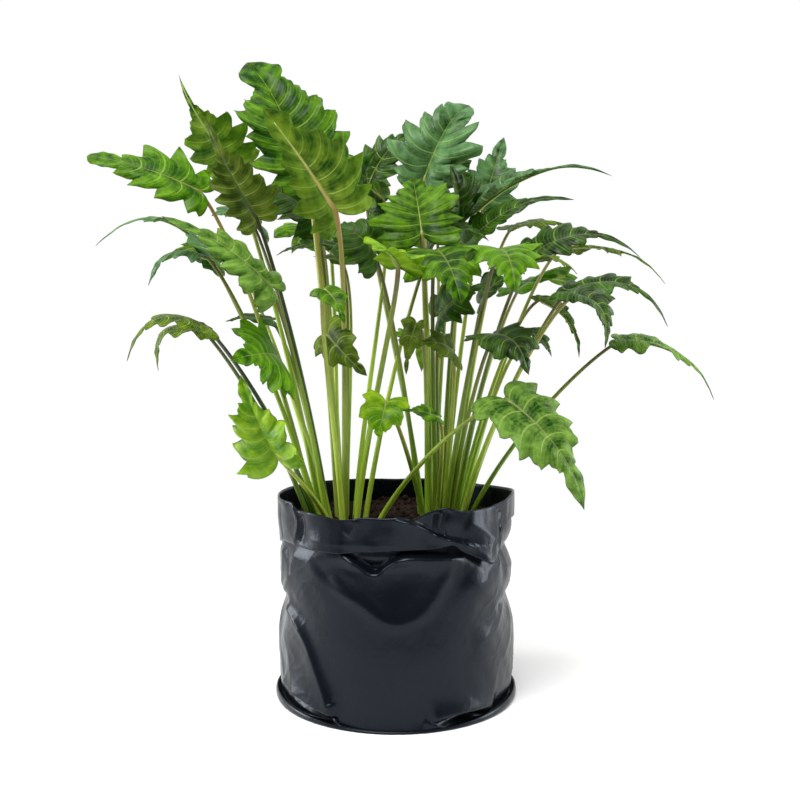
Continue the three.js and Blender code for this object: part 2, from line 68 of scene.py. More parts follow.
# Shader nodes
class Flow:
    """What comes out of one socket. Sums on it add Math nodes."""

    def __init__(self, nodes, socket):
        self.nodes = nodes
        self.socket = socket

    def maths(self, operation, *values, clamp=False):
        settings = {"operation": operation, "use_clamp": clamp}
        return self.nodes.node("Math", settings, dict(enumerate(values)))

    def __add__(self, other):
        return self.maths("ADD", self, other)

    def __sub__(self, other):
        return self.maths("SUBTRACT", self, other)

    def __mul__(self, other):
        return self.maths("MULTIPLY", self, other)

    def __truediv__(self, other):
        return self.maths("DIVIDE", self, other)

    def __rsub__(self, other):
        return self.maths("SUBTRACT", other, self)

    __radd__ = __add__
    __rmul__ = __mul__

    def clamped(self):
        return self.maths("ADD", self, 0.0, clamp=True)

    def size(self):
        return self.maths("ABSOLUTE", self)

    def fraction(self):
        return self.maths("FRACT", self)


class Nodes:
    """The nodes of a material or the surround. node() adds any node: its type, its settings,
    and its sockets' values."""

    def __init__(self, holder):
        holder.use_nodes = True
        self.tree = holder.node_tree
        self.tree.nodes.clear()

    def node(self, kind, settings=None, values=None, output=0):
        made = self.tree.nodes.new("ShaderNode" + kind)
        for name, setting in (settings or {}).items():
            if name == "stops":
                self.set_stops(made.color_ramp, setting)
            else:
                setattr(made, name, setting)
        for name, value in (values or {}).items():
            self.feed(made.inputs[name], value)
        return Flow(self, made.outputs[output]) if made.outputs else None

    def feed(self, socket, value):
        if isinstance(value, Flow):
            self.tree.links.new(value.socket, socket)
        elif socket.type == "RGBA":
            socket.default_value = (*value, 1)
        else:
            socket.default_value = value

    def set_stops(self, ramp, stops):
        while len(ramp.elements) < len(stops):
            ramp.elements.new(0.5)
        for element, (place, colour) in zip(ramp.elements, stops):
            element.position = place
            element.color = (*colour, 1)


class Finish(Nodes):
    """One material."""

    def __init__(self, name):
        self.material = bpy.data.materials.new(name)
        super().__init__(self.material)

    def attribute(self, name):
        return self.node("Attribute", {"attribute_name": name}, output="Fac")

    def place(self, stretch=(1, 1, 1)):
        """Object coordinates, stretched along each axis."""
        spot = self.node("TexCoord", output="Object")
        return self.node("Mapping", None, {"Vector": spot, "Scale": stretch})

    def noise(self, scale, detail=3.0, rough=0.55, stretch=(1, 1, 1)):
        values = {"Vector": self.place(stretch), "Scale": scale, "Detail": detail,
                  "Roughness": rough}
        return self.node("TexNoise", None, values)

    def mix(self, share, first, second, mode="MIX"):
        settings = {"data_type": "RGBA", "blend_type": mode}
        return self.node("Mix", settings, {0: share, 6: first, 7: second}, output=2)

    def bump(self, height, strength, distance, under=None):
        values = {"Height": height, "Strength": strength, "Distance": distance * MM}
        if under:
            values["Normal"] = under
        return self.node("Bump", None, values)

    def show(self, shader):
        self.node("OutputMaterial", None, {"Surface": shader})
        return self.material


def tint(red, green, blue):
    """A colour given in display numbers from 0 to 255, as the shaders take it."""
    return tuple((c / 255 / 12.92) if c < 11 else ((c / 255 + 0.055) / 1.055) ** 2.4
                 for c in (red, green, blue))


# Meshes
def grid_faces(index, wrap=False):
    """Four-cornered faces of a grid of point numbers. They look along rows times columns."""
    if wrap:
        index = np.concatenate([index, index[:, :1]], axis=1)
    corners = (index[:-1, :-1], index[1:, :-1], index[1:, 1:], index[:-1, 1:])
    return np.stack(corners, axis=-1).reshape(-1, 4)


def fan(centre, ring, flip=False):
    """Triangles from one point to a closed ring of points."""
    after = np.roll(ring, -1)
    middle = np.full(len(ring), centre)
    columns = (middle, after, ring) if flip else (middle, ring, after)
    return np.stack(columns, axis=-1)


def unit(vectors):
    return vectors / np.linalg.norm(vectors, axis=-1, keepdims=True)


def add_piece(name, points, faces, finishes, values=None, finish_of=None):
    """A mesh object at the origin. faces is a list of arrays of corners, finish_of gives the
    number of the finish of each array, and values holds one number a point for each name."""
    mesh = bpy.data.meshes.new(name)
    mesh.vertices.add(len(points))
    mesh.vertices.foreach_set("co", (points * MM).astype(np.float32).ravel())
    sizes = np.concatenate([np.full(len(f), f.shape[1]) for f in faces])
    corners = np.concatenate([f.ravel() for f in faces]).astype(np.int32)
    mesh.loops.add(len(corners))
    mesh.loops.foreach_set("vertex_index", corners)
    mesh.polygons.add(len(sizes))
    mesh.polygons.foreach_set("loop_start", (np.cumsum(sizes) - sizes).astype(np.int32))
    if finish_of:
        number = np.concatenate([np.full(len(f), n) for f, n in zip(faces, finish_of)])
        mesh.polygons.foreach_set("material_index", number.astype(np.int32))
    for key, numbers in (values or {}).items():
        layer = mesh.attributes.new(key, "FLOAT", "POINT")
        layer.data.foreach_set("value", np.asarray(numbers, np.float32))
    for finish in finishes:
        mesh.materials.append(finish)
    mesh.update(calc_edges=True)
    mesh.validate()
    mesh.shade_smooth()
    piece = bpy.data.objects.new(name, mesh)
    bpy.context.scene.collection.objects.link(piece)
    return piece


# Leaves. Places are as they look from the front: across and up are measured in the upright
# plane through the bag's axis, and depth moves the point along the line of sight.
def seen(place):
    across, up, depth = place
    scale = (depth - EYE[1]) / -EYE[1]
    return np.array((EYE[0] + (across - EYE[0]) * scale, depth, EYE[2] + (up - EYE[2]) * scale))


LEFT = {"centre": np.array((-50.0, 0.0)), "spread": 29, "foot_radius": 3.2, "stalk": "lime"}
RIGHT = {"centre": np.array((41.0, 34.0)), "spread": 26, "foot_radius": 3.0, "stalk": "green"}

# What a leaf has unless its row says otherwise. curl bends the end of the midrib down, stout
# thickens the stalk's top and taper shortens the lobes towards the tip. cut is the depth of the
# notches, of which merge takes away a share towards the tip. blunt rounds the lobes, hook turns
# their veins forward, droop bends the margin down and wave ruffles it. end is the half-width of
# the last lobe and tip_taper narrows its tip. light is the leaf's shade. stalk and skin are the
# looks of the stalk and the blade where they aren't the clump's and the tone's own.
PLAIN = {"curl": 0, "stout": 1, "taper": 0, "cut": 0.36, "merge": 0.3, "blunt": 1.2,
         "hook": 1.15, "droop": 16, "wave": 1.5, "end": 0.1, "tip_taper": 1.2, "light": 0.5,
         "stalk": None, "skin": None}


def leaf(clump, base, tip, face, reach, fold, arch, lobes, tone, **looks):
    return {**PLAIN, "clump": clump, "base": base, "tip": tip, "face": face, "reach": reach,
            "fold": fold, "arch": arch, "lobes": lobes, "tone": tone, **looks}


# Each row has the clump, where the blade begins and ends, which way its upper side faces, the
# reach of its lobes, how many degrees both halves fold up, how far the middle of the midrib is
# lifted, the lobes on each side, and the tone.
LEAVES = [
    # Left clump, outer leaves on the left
    leaf(LEFT, (-190, 494, -20), (-297, 527, -30), (0.22, -0.66, 0.72), 40, 15, 6, 4, "green",
         end=0.17, cut=0.5, hook=1.7, light=0.6, wave=1, stalk="brown", tip_taper=0.45, blunt=1.0,
         taper=-0.35),
    leaf(LEFT, (-162, 523, 35), (-212, 604, 25), (0.1, 0.95, 0.2), 44, 28, -6, 5, "lime",
         curl=-16, taper=0.6, skin="green", light=0.9, end=0.02, tip_taper=1.6, merge=0.5,
         cut=0.42),
    leaf(LEFT, (-135, 469, -30), (-183, 564, -35), (0.41, 0.89, 0.21), 40, 28, -5, 6, "olive",
         taper=0.2, light=0.35, stalk="dark", end=0.06),
    leaf(LEFT, (-86, 514, -5), (-140, 619, 15), (0.42, -0.88, 0.21), 60, 30, 8, 6, "dark", curl=8,
         stout=1.9, skin="green", cut=0.4, light=0.4, stalk="brown", end=0.24, wave=0.8,
         tip_taper=1.0, taper=-0.05, hook=1.3, merge=0.85),
    leaf(LEFT, (-59, 477, -76), (-127, 572, -78), (0.47, 0.82, 0.33), 52, 35, 3, 5, "lime",
         stout=1.3, skin="green", light=0.9, stalk="brown", wave=0.7, end=0.18, tip_taper=1.0,
         cut=0.42, taper=0.1, merge=0.8),
    leaf(LEFT, (-123, 404, -82), (-227, 470, -98), (0.49, -0.4, 0.78), 45, 16, 8, 5, "green",
         light=0.52, skin="sage", cut=0.5, hook=1.5),
    leaf(LEFT, (-177, 427, -38), (-289, 453, -48), (-0.1, -0.15, 0.98), 36, 14, 26, 5, "dark",
         curl=12, taper=0.3, skin="grey_sheen", light=0.6),
    leaf(LEFT, (-182, 429, -68), (-243, 411, -90), (-0.1, -0.1, 0.98), 26, 10, 14, 4, "dark",
         curl=8, skin="grey_sheen", light=0.4),
    leaf(LEFT, (-188, 366, -120), (-265, 334, -140), (-0.1, -0.3, 0.94), 28, -2, 20, 4, "dark",
         curl=5, taper=0.2, skin="olive", light=0.55, stalk="dark", droop=8, end=0.12, cut=0.5,
         hook=1.3),
    leaf(LEFT, (-190, 361, -45), (-237, 326, -60), (-0.2, -0.3, 0.93), 26, -6, 20, 3, "dark",
         curl=8, skin="olive", light=0.6, stalk="dark", droop=8, end=0.12, cut=0.5, hook=1.3),
    leaf(LEFT, (-116, 334, -60), (-162, 330, -125), (0.6, -0.6, 0.55), 44, 12, 8, 6, "green",
         light=0.6),
    leaf(LEFT, (-117, 236, -85), (-152, 316, -110), (-0.51, -0.83, -0.21), 44, 34, 4, 5, "lime"),
    leaf(LEFT, (-122, 370, 48), (-166, 368, 44), (0, -0.3, 0.95), 22, 12, 4, 3, "dark"),
    # Left clump, the middle of the crown
    leaf(LEFT, (-139, 464, 95), (-178, 470, 60), (0, -0.4, 0.9), 34, 15, 8, 4, "dark",
         skin="grey_sheen", light=0.6),
    leaf(LEFT, (-81, 471, 45), (-135, 497, 63), (0.1, -0.6, 0.75), 44, 20, 8, 5, "dark"),
    leaf(LEFT, (-78, 504, 100), (-118, 512, 100), (0, -0.5, 0.8), 30, 20, 4, 4, "dark"),
    leaf(LEFT, (-60, 441, 20), (-116, 432, 12), (0, -0.3, 0.93), 22, 20, 6, 4, "dark"),
    leaf(RIGHT, (-22, 437, -24), (-58, 460, -18), (0.2, -0.7, 0.65), 36, 20, 6, 5, "dark"),
    leaf(LEFT, (-13, 486, 45), (-18, 532, -10), (-0.2, -0.75, 0.5), 42, 35, 14, 5, "dark"),
    leaf(RIGHT, (-28, 495, 110), (22, 556, 110), (-0.35, -0.75, 0.5), 40, 25, 12, 5, "dark",
         curl=14),
    leaf(LEFT, (2, 423, -92), (-22, 436, -140), (0, -0.45, 0.85), 32, 30, 6, 4, "lime", stout=1.3),
    leaf(LEFT, (-69, 399, -112), (-50, 366, -132), (0.3, -0.8, 0.5), 17, 20, 6, 3, "green"),
    leaf(LEFT, (-66, 355, -42), (-28, 315, -76), (-0.3, -0.8, 0.1), 26, 20, 4, 3, "olive"),
    leaf(RIGHT, (-10, 288, -80), (-18, 255, -95), (0.1, -0.85, 0.5), 24, 20, 4, 3, "lime"),
    leaf(LEFT, (110, 291, -110), (191, 185, -135), (0.35, -0.75, 0.55), 47, 12, 14, 5, "green",
         curl=8, skin="sage", cut=0.26),
    leaf(LEFT, (-52, 425, 60), (-80, 431, 55), (0, -0.3, 0.95), 16, 15, 3, 3, "olive"),
    # Left clump, behind
    leaf(LEFT, (-150, 420, 130), (-225, 432, 190), (-0.2, 0.4, 0.9), 44, 20, 16, 5, "green",
         curl=8),
    leaf(LEFT, (-70, 440, 150), (-100, 440, 255), (0, 0.4, 0.9), 46, 20, 18, 5, "green", curl=8),
    # Right clump, the crown
    leaf(RIGHT, (28, 507, 60), (68, 580, 75), (-0.2, -0.85, 0.5), 50, 30, 10, 5, "dark", curl=12,
         skin="grey_sheen", light=0.7, wave=1, cut=0.48, taper=-0.15, end=0.2, hook=1.35),
    leaf(RIGHT, (25, 454, -28), (16, 507, 12), (0, -0.75, 0.65), 52, 28, 4, 5, "green", stout=1.3,
         light=0.4),
    leaf(RIGHT, (33, 500, 125), (80, 538, 145), (-0.1, -0.7, 0.65), 40, 20, 8, 5, "dark"),
    leaf(RIGHT, (57, 468, 36), (52, 518, 4), (0.2, -0.6, 0.6), 36, 30, 6, 5, "dark"),
    leaf(RIGHT, (74, 471, 70), (205, 520, 60), (-0.35, -0.2, 0.9), 48, 38, 16, 5, "green",
         curl=14, taper=0.6, skin="grey_sheen", light=0.6),
    leaf(RIGHT, (84, 478, 125), (104, 545, 150), (0, -0.85, 0.4), 36, 18, 6, 5, "dark",
         skin="grey_sheen", light=0.7),
    leaf(RIGHT, (68, 442, 42), (168, 493, 10), (-0.4, -0.45, 0.75), 32, 20, 12, 5, "dark",
         curl=10),
    leaf(RIGHT, (112, 458, 130), (178, 456, 150), (0, -0.1, 0.98), 30, 15, 8, 5, "olive", curl=6),
    leaf(RIGHT, (128, 430, 0), (236, 441, -20), (-0.15, -0.45, 0.87), 42, 22, 18, 5, "dark",
         curl=12, taper=0.35),
    leaf(RIGHT, (160, 439, 95), (264, 413, 105), (0.1, 0, 0.98), 30, 10, 12, 5, "olive", curl=10,
         taper=0.3),
    leaf(RIGHT, (100, 438, -92), (116, 396, -138), (0.15, -0.85, 0.4), 40, 15, 12, 5, "green",
         light=0.6),
    leaf(RIGHT, (39, 437, -40), (64, 384, -95), (0.1, -0.75, 0.6), 48, 15, 12, 5, "green",
         light=0.4),
    leaf(LEFT, (36, 443, 4), (90, 446, -6), (0, -0.4, 0.9), 26, 20, 14, 5, "dark"),
    leaf(RIGHT, (127, 424, -50), (176, 414, -60), (0, -0.05, 0.98), 24, 15, 10, 4, "olive"),
    leaf(RIGHT, (168, 398, -30), (268, 372, -45), (0.2, -0.35, 0.9), 38, 18, 20, 5, "dark",
         curl=10, taper=0.4),
    leaf(RIGHT, (174, 394, -95), (204, 342, -115), (0.55, -0.6, 0.45), 28, 22, 16, 4, "dark"),
    leaf(RIGHT, (140, 389, 70), (179, 333, 80), (0.6, 0.1, 0.7), 22, 30, 12, 4, "dark"),
    leaf(RIGHT, (220, 350, 30), (315, 296, 20), (0.4, -0.2, 0.88), 34, 20, 16, 5, "green", curl=6,
         taper=0.3, light=0.6, skin="sage"),
    leaf(RIGHT, (98, 356, -70), (130, 316, -100), (0.3, -0.7, 0.6), 34, 15, 12, 4, "dark"),
    leaf(RIGHT, (132, 357, 10), (152, 334, 0), (0.5, -0.5, 0.7), 16, 20, 4, 3, "dark"),
    leaf(RIGHT, (55, 340, -45), (20, 346, -60), (0.2, -0.6, 0.75), 26, 15, 6, 3, "olive"),
    leaf(RIGHT, (42, 274, -60), (6, 281, -66), (0, -0.5, 0.85), 14, 20, 3, 3, "green"),
    leaf(RIGHT, (44, 376, 0), (88, 404, -15), (0.1, -0.6, 0.75), 34, 20, 6, 4, "dark"),
    leaf(RIGHT, (84, 389, 35), (114, 412, 15), (0.2, -0.6, 0.75), 28, 20, 6, 4, "dark"),
    leaf(RIGHT, (20, 366, -46), (10, 316, -54), (-0.4, -0.8, 0.2), 14, 30, 5, 3, "olive"),
    # Right clump, behind
    leaf(RIGHT, (40, 450, 170), (20, 455, 270), (0, 0.4, 0.9), 46, 20, 18, 5, "green", curl=8),
    leaf(RIGHT, (120, 400, 160), (190, 390, 225), (0.3, 0.4, 0.86), 44, 20, 18, 5, "green",
         curl=8),
    leaf(RIGHT, (30, 350, 165), (25, 325, 260), (0, 0.5, 0.86), 42, 20, 16, 5, "green", curl=8),
]

# The feet of a clump stand on their own leaf's side and push apart to the spacing of sheaths.
FOOT_HEIGHT = 152
FOOT_SPACING = 8
SETTLING_ROUNDS = 120
FULL_LEAN = 190
STALK_TOP = 1.7


def settle_feet(members):
    clump = members[0]["clump"]
    lean = np.array([seen(row["base"])[:2] for row in members]) - clump["centre"]
    length = np.linalg.norm(lean, axis=1, keepdims=True)
    feet = clump["centre"] + lean / length * clump["spread"] * np.minimum(
        1, length / FULL_LEAN) ** 0.7
    for _ in range(SETTLING_ROUNDS):
        apart = feet[None, :, :] - feet[:, None, :]
        gap = np.linalg.norm(apart, axis=-1)
        short = np.where(gap > 0, np.maximum(0, FOOT_SPACING - gap), 0)
        push = apart / np.maximum(gap, 1e-9)[..., None] * (short * 0.3)[..., None]
        feet = feet - push.sum(axis=1)
    return feet


class Midrib:
    """The blade's own frame. Its line is the chord lifted by arch * 4t(1-t) and bent down by
    curl * bend(t)^2 past t = 0.6; side, normal and tangent are square to each other."""

    def __init__(self, row):
        self.row = row
        self.base = seen(row["base"])
        self.chord = seen(row["tip"]) - self.base
        self.length = float(np.linalg.norm(self.chord))
        self.side = unit(np.cross(self.chord, np.array(row["face"], float)))
        self.up = unit(np.cross(self.side, self.chord))

    def line(self, t):
        bend = np.maximum(0, (t - 0.6) / 0.4)
        lift = self.row["arch"] * 4 * t * (1 - t) - self.row["curl"] * bend ** 2
        return self.base + t[..., None] * self.chord + lift[..., None] * self.up

    def tangent(self, t):
        bend = np.maximum(0, (t - 0.6) / 0.4)
        slope = self.row["arch"] * 4 * (1 - 2 * t) - self.row["curl"] * 2 * bend / 0.4
        return unit(self.chord + slope[..., None] * self.up)

    def place(self, along, across, height):
        t = along / self.length
        normal = np.cross(self.side, self.tangent(t))
        return self.line(t) + across[..., None] * self.side + height[..., None] * normal


# Where across a lobe, from -1 to 1, its tip stands: forward of the middle.
PEAK = 0.5
ROWS_OUT = np.array((0, 0.03, 0.08, 0.16, 0.26, 0.37, 0.48, 0.59, 0.69, 0.78, 0.86, 0.92,
                     0.97, 1))
COLUMNS_A_LOBE = 16
END_COLUMNS = 22
BLADE_THICKNESS = 0.5


def half_blade(row, length, rng):
    """One half of a blade, as (along, across, raised, vein) on a grid of columns, from the
    base to the tip, by rows, from the midrib to the margin.
    Lobe k spans vein numbers k - 1/2 to k + 1/2. A side vein leaves the midrib at an angle that
    falls from 102 to 44 degrees, and is an arc that turns forward by hook. Its length is
    reach * fullness * (1 - cut * notch * (1 - merge * q)), where notch is 0 at a lobe's tip and
    1 in the notch, and q runs from 0 at the first lobe to 1 at the last. Past the last notch,
    an end lobe runs on to the tip."""
    lobes, reach, cut = row["lobes"], row["reach"], row["cut"]
    body = np.linspace(-0.5, lobes - 0.5, lobes * COLUMNS_A_LOBE + 1)
    end = np.linspace(0, 1, END_COLUMNS + 1)[1:]
    number = np.clip(np.floor(body + 0.5), 0, lobes - 1)
    phase = 2 * (body - number)
    # Each lobe's own length, lift and lean.
    longer = 1 + rng.uniform(-0.17, 0.17, lobes)
    tilt = rng.uniform(-1, 1, lobes)
    shift = rng.uniform(-0.12, 0.12, lobes)
    k = number.astype(int)

    # Where each column meets the margin: the vein number there, and how deep in the notch.
    wide = number + (phase + shift[k] * (1 - phase ** 2)) / 2
    behind, ahead = (PEAK - phase) / (PEAK + 1), (phase - PEAK) / (1 - PEAK)
    notch = np.where(phase < PEAK, np.maximum(behind, 0) ** row["blunt"],
                     np.maximum(ahead, 0) ** 0.9)
    # Behind the first lobe the margin draws in to the stalk.
    before_first = np.clip(-2 * body, 0, 1)
    notch = np.where(body < 0, before_first ** 1.8, notch)
    depth = np.where(body < 0, 0.85, cut)
    mean_length = np.interp(body, np.arange(lobes), longer)
    mean_length = mean_length + 0.018 * np.sin(TAU * (body * 2.2 + rng.uniform()))

    v = ROWS_OUT[None, :]
    vein = body[:, None] + (wide - body)[:, None] * v ** 2
    q = np.maximum(vein, 0) / (lobes - 1)
    fullness = 0.8 + 0.26 * np.sin(math.pi * np.minimum(q, 1) ** 0.8) - 0.3 * q ** 2
    angle = 102 - 58 * q + np.maximum(-vein, 0) * 100
    start = 0.01 + 0.52 * q
    out = reach * fullness * (1 - row["taper"] * q) * mean_length[:, None]
    out = out * (1 - (depth * notch)[:, None] * (1 - row["merge"] * np.minimum(q, 1)))
    along, across = forward_arc(start * length, out, np.radians(angle), row["hook"], v)

    # End lobe: its half-width falls from the last notch's and swells to the lobe's own, while
    # its margin runs on from the last notch to the tip.
    neck = across[-1, -1]
    swell = end ** 0.8 * (1 - end) ** row["tip_taper"]
    swell = swell / swell.max()
    width = neck * (1 - end) ** 1.3 + reach * row["end"] * (1 - 0.5 * row["taper"]) * swell
    midline = length * (start[-1, 0] + (0.985 - start[-1, 0]) * end ** 0.95)
    tip = max(length, along[-1, -1] + 0.1 * length)
    margin = along[-1, -1] + (tip - along[-1, -1]) * end ** 0.9
    along_end = midline[:, None] + (margin - midline)[:, None] * v ** 1.2
    along = np.concatenate([along, along_end])
    across = np.concatenate([across, width[:, None] * v])
    to_peak = np.concatenate([PEAK / 2 * (1 - phase ** 2), 0 * end])[:, None] * v ** 2
    veins = np.concatenate([body, body[-1] + 2.5 * end])[:, None] - to_peak

    # Cross-section: steep by the midrib and flat or drooping at the margin. Between two side
    # veins the blade stands up, and along the margin it waves.
    fold = math.radians(row["fold"])
    droop = math.radians(row["droop"])
    mean = fold * (1.45 - 0.6 * v) - droop * v
    wide_out = across.copy()
    across = wide_out * np.cos(mean)
    raised = wide_out * np.sin(mean)
    quilt = np.sin(math.pi * veins) ** 2 * np.sin(math.pi * v ** 0.8) * 0.035
    ruffle = np.cos(TAU * veins + rng.uniform(0, TAU)) * 0.05 * row["wave"]
    slow = np.sin(1.9 * veins + rng.uniform(0, TAU)) * 0.09 * row["wave"]
    lobe_tilt = np.interp(veins[:, 0], np.arange(lobes), tilt)[:, None] * 0.14 * row["wave"]
    raised = raised + wide_out * (quilt + (ruffle + slow) * v ** 2 + lobe_tilt * v ** 2.5)
    return along, across, raised, veins


def forward_arc(start, out, angle, hook, v):
    """Along and across of an arc of length out that leaves the midrib at angle + hook / 2 and
    turns forward by hook: start + out (sin a - sin(a - hook v)) / hook, and the same across."""
    a = angle + hook / 2
    along = start + out * (np.sin(a) - np.sin(a - hook * v)) / hook
    across = out * (np.cos(a - hook * v) - np.cos(a)) / hook
    return along, across


def blade_mesh(row, midrib, rng):
    """Both halves side by side as one grid, an upper and a lower sheet that share their edge.
    The sheets are the thickness apart and meet at the margin."""
    right = half_blade(row, midrib.length, rng)
    left = half_blade(row, midrib.length, rng)
    along, across, raised, vein = [
        np.concatenate([sign * b[:, :0:-1], a], axis=1)
        for a, b, sign in zip(right, left, (1, -1, 1, 1))
    ]
    v = np.concatenate([ROWS_OUT[:0:-1], ROWS_OUT])[None, :] + 0 * along
    gap = BLADE_THICKNESS / 2
    top = midrib.place(along, across, raised + gap)
    low = midrib.place(along, across, raised - gap)
    columns, rows = along.shape
    inner = (slice(1, -1), slice(1, -1))
    edge = np.ones((columns, rows), bool)
    edge[inner] = False
    top[edge] = (top[edge] + low[edge]) / 2
    upper = np.arange(columns * rows).reshape(columns, rows)
    lower = upper.copy()
    lower[inner] = columns * rows + np.arange((columns - 2) * (rows - 2)).reshape(
        columns - 2, rows - 2)
    points = np.concatenate([top.reshape(-1, 3), low[inner].reshape(-1, 3)])
    faces = [grid_faces(upper)[:, ::-1], grid_faces(lower)]

    def both(sheet):
        return np.concatenate([sheet.ravel(), sheet[inner].ravel()])

    under = np.concatenate([np.zeros(columns * rows), np.ones((columns - 2) * (rows - 2))])
    values = {"vein": both(vein), "reach": both(v), "off": both(np.abs(across)),
              "run": both(along / midrib.length), "under": under, "climb": both(0 * along)}
    return points, faces, values


STALK_SIDES = 12
STALK_RINGS = 34
RIB_RINGS = 22
# How much of the blade's length the midrib runs along, and its radius at the end.
RIB_REACH = 0.86
RIB_TIP = 0.25


def stalk_mesh(row, midrib, foot):
    """One closed tube: a cubic curve from the foot to the blade, then the midrib under the
    blade, which ends short of the tip. Its radius falls from the foot's to the top's by a
    power, and then thins along the midrib. Frames are carried backwards from the blade, with
    no twist."""
    start = np.array((*foot, FOOT_HEIGHT))
    span = midrib.base - start
    distance = np.linalg.norm(span)
    straight = span / distance
    first = midrib.tangent(np.zeros(1))[0]
    leave = unit(straight * 0.55 + np.array((0, 0, 1)) * 0.45)
    arrive = unit(straight * 0.45 + first * 0.55)
    lower = start + leave * distance * 0.4
    upper = midrib.base - arrive * distance * 0.12
    t = np.linspace(0, 1, STALK_RINGS)[:, None]
    ends = (start, lower, upper, midrib.base)
    line = sum(c * (1 - t) ** (3 - i) * t ** i * e for i, (c, e) in enumerate(
        zip((1, 3, 3, 1), ends)))
    run = np.linspace(0, RIB_REACH, RIB_RINGS + 1)[1:]
    rib_normal = np.cross(midrib.side, midrib.tangent(run))
    taper = (row["clump"]["foot_radius"] - STALK_TOP) * (1 - t[:, 0]) ** 1.6
    radius = (STALK_TOP + taper) * (1 + (row["stout"] - 1) * t[:, 0])
    rib_radius = RIB_TIP + (radius[-1] - RIB_TIP) * (1 - run) ** 1.5
    rib = midrib.line(run) - rib_normal * (rib_radius * 0.55)[:, None]
    centres = np.concatenate([line, rib])
    radii = np.concatenate([radius, rib_radius])
    along = unit(np.gradient(centres, axis=0))
    sides = np.empty_like(centres)
    side = midrib.side
    for i in range(len(centres) - 1, -1, -1):
        side = unit(side - along[i] * side.dot(along[i]))
        sides[i] = side
    ups = np.cross(sides, along)
    turn = np.arange(STALK_SIDES) / STALK_SIDES * TAU
    channel = 1 - 0.16 * np.maximum(0, np.sin(turn)) ** 6
    ring = (sides[:, None, :] * np.cos(turn)[None, :, None]
            + ups[:, None, :] * np.sin(turn)[None, :, None])
    tube = centres[:, None, :] + ring * (radii[:, None] * channel[None, :])[..., None]
    count = tube.shape[0] * STALK_SIDES
    points = np.concatenate([tube.reshape(-1, 3), centres[:1], centres[-1:]])
    index = np.arange(count).reshape(-1, STALK_SIDES)
    faces = [grid_faces(index, wrap=True), fan(count, index[0]),
             fan(count + 1, index[-1], flip=True)]
    climb = np.concatenate([t[:, 0], 1 + run])
    climb = np.concatenate([np.repeat(climb, STALK_SIDES), climb[:1], climb[-1:]])
    values = dict.fromkeys(("vein", "reach", "off", "run", "under"), np.zeros_like(climb))
    return points, faces, {**values, "climb": climb}


# Leaf finishes: upper side in deep and light shade, underside, and the light that comes
# through. The underside of a young leaf is the palest.
BLADES = {
    "green": (tint(10, 46, 2), tint(110, 162, 16), tint(124, 152, 36), tint(140, 200, 10)),
    "dark": (tint(6, 28, 4), tint(74, 120, 28), tint(92, 126, 40), tint(100, 155, 15)),
    # Tone grey: its pale blue-grey light colour is partly painted sheen, which stands in for the
    # gloss on dark mature leaves, and partly their own blue-green.
    "grey_sheen": (tint(10, 44, 16), tint(104, 152, 92), tint(108, 146, 60), tint(110, 170, 30)),
    "sage": (tint(16, 58, 8), tint(134, 176, 72), tint(122, 152, 54), tint(130, 185, 20)),
    "olive": (tint(24, 42, 4), tint(112, 138, 30), tint(112, 130, 42), tint(150, 185, 20)),
    "lime": (tint(64, 112, 4), tint(166, 202, 36), tint(154, 186, 42), tint(190, 230, 20)),
}
GLOSS = {"grey_sheen": 0.3, "dark": 0.25}
# How much of a blade's look is light that comes through it.
GLOW_SHARE = 0.34
VEIN_PALE = tint(188, 208, 110)
RIM_DARK = tint(48, 44, 20)


def blade_finish(tone):
    """Leaf skin: side veins where the vein number is whole, finer ones between them, a pale
    midrib, mottling, a thin dark margin, and light that comes through the blade."""
    deep, light, underside, through = BLADES[tone]
    skin = Finish("leaf_" + tone)
    vein, reach, off = skin.attribute("vein"), skin.attribute("reach"), skin.attribute("off")
    under, shade = skin.attribute("under"), skin.attribute("shade")
    run = skin.attribute("run")
    beside = ((vein + 0.5).fraction() - 0.5).size()
    thin = (1.2 - reach) * 0.065
    vein_mask = (1 - beside / thin).clamped()
    calm = ((0.78 - run) * 6).clamped()
    fine = (((vein * 5 + 0.5).fraction() - 0.5).size() * -6 + 1).clamped() * calm * 0.3
    rib = (1 - off / ((1.06 - run) * 1.7)).clamped()
    lines = rib.maths("MAXIMUM", vein_mask * calm, rib)
    mottle = skin.noise(38, 4)
    grain = skin.noise(420, 2)
    cells = skin.noise(150, 3)
    lightness = (shade + (mottle - 0.5) * 1.7 + (cells - 0.5) * 1.4 + (grain - 0.5) * 0.6
                 - beside * 0.95 + reach * 0.3 + 0.03)
    top = skin.mix(lightness.clamped(), deep, light)
    top = skin.mix(lines * 0.5 + fine * 0.6, top, VEIN_PALE)
    low = skin.mix((mottle * 3.2 + cells * 1.8 - 2.3 + beside * 0.9).clamped(), underside, deep)
    low = skin.mix(lines * 0.5 + fine * 0.6, low, VEIN_PALE)
    colour = skin.mix(under, top, low)
    margin = ((reach - 0.97) * 40).clamped() + ((run - 0.9) * 9).clamped()
    colour = skin.mix(margin.clamped() * 0.7, colour, RIM_DARK)
    rough = under * 0.18 + 0.36 + (mottle - 0.5) * 0.2
    height = ((under * 2 - 1) * lines + cells * 0.5) * calm
    surface = skin.node("BsdfPrincipled", None, {
        "Base Color": colour, "Roughness": rough, "Specular IOR Level": GLOSS.get(tone, 0.16),
        "Normal": skin.bump(height, 0.7, 0.6)})
    glow = skin.node("BsdfTranslucent", None, {"Color": through})
    return skin.show(skin.node("MixShader", None, {0: GLOW_SHARE, 1: surface, 2: glow}))


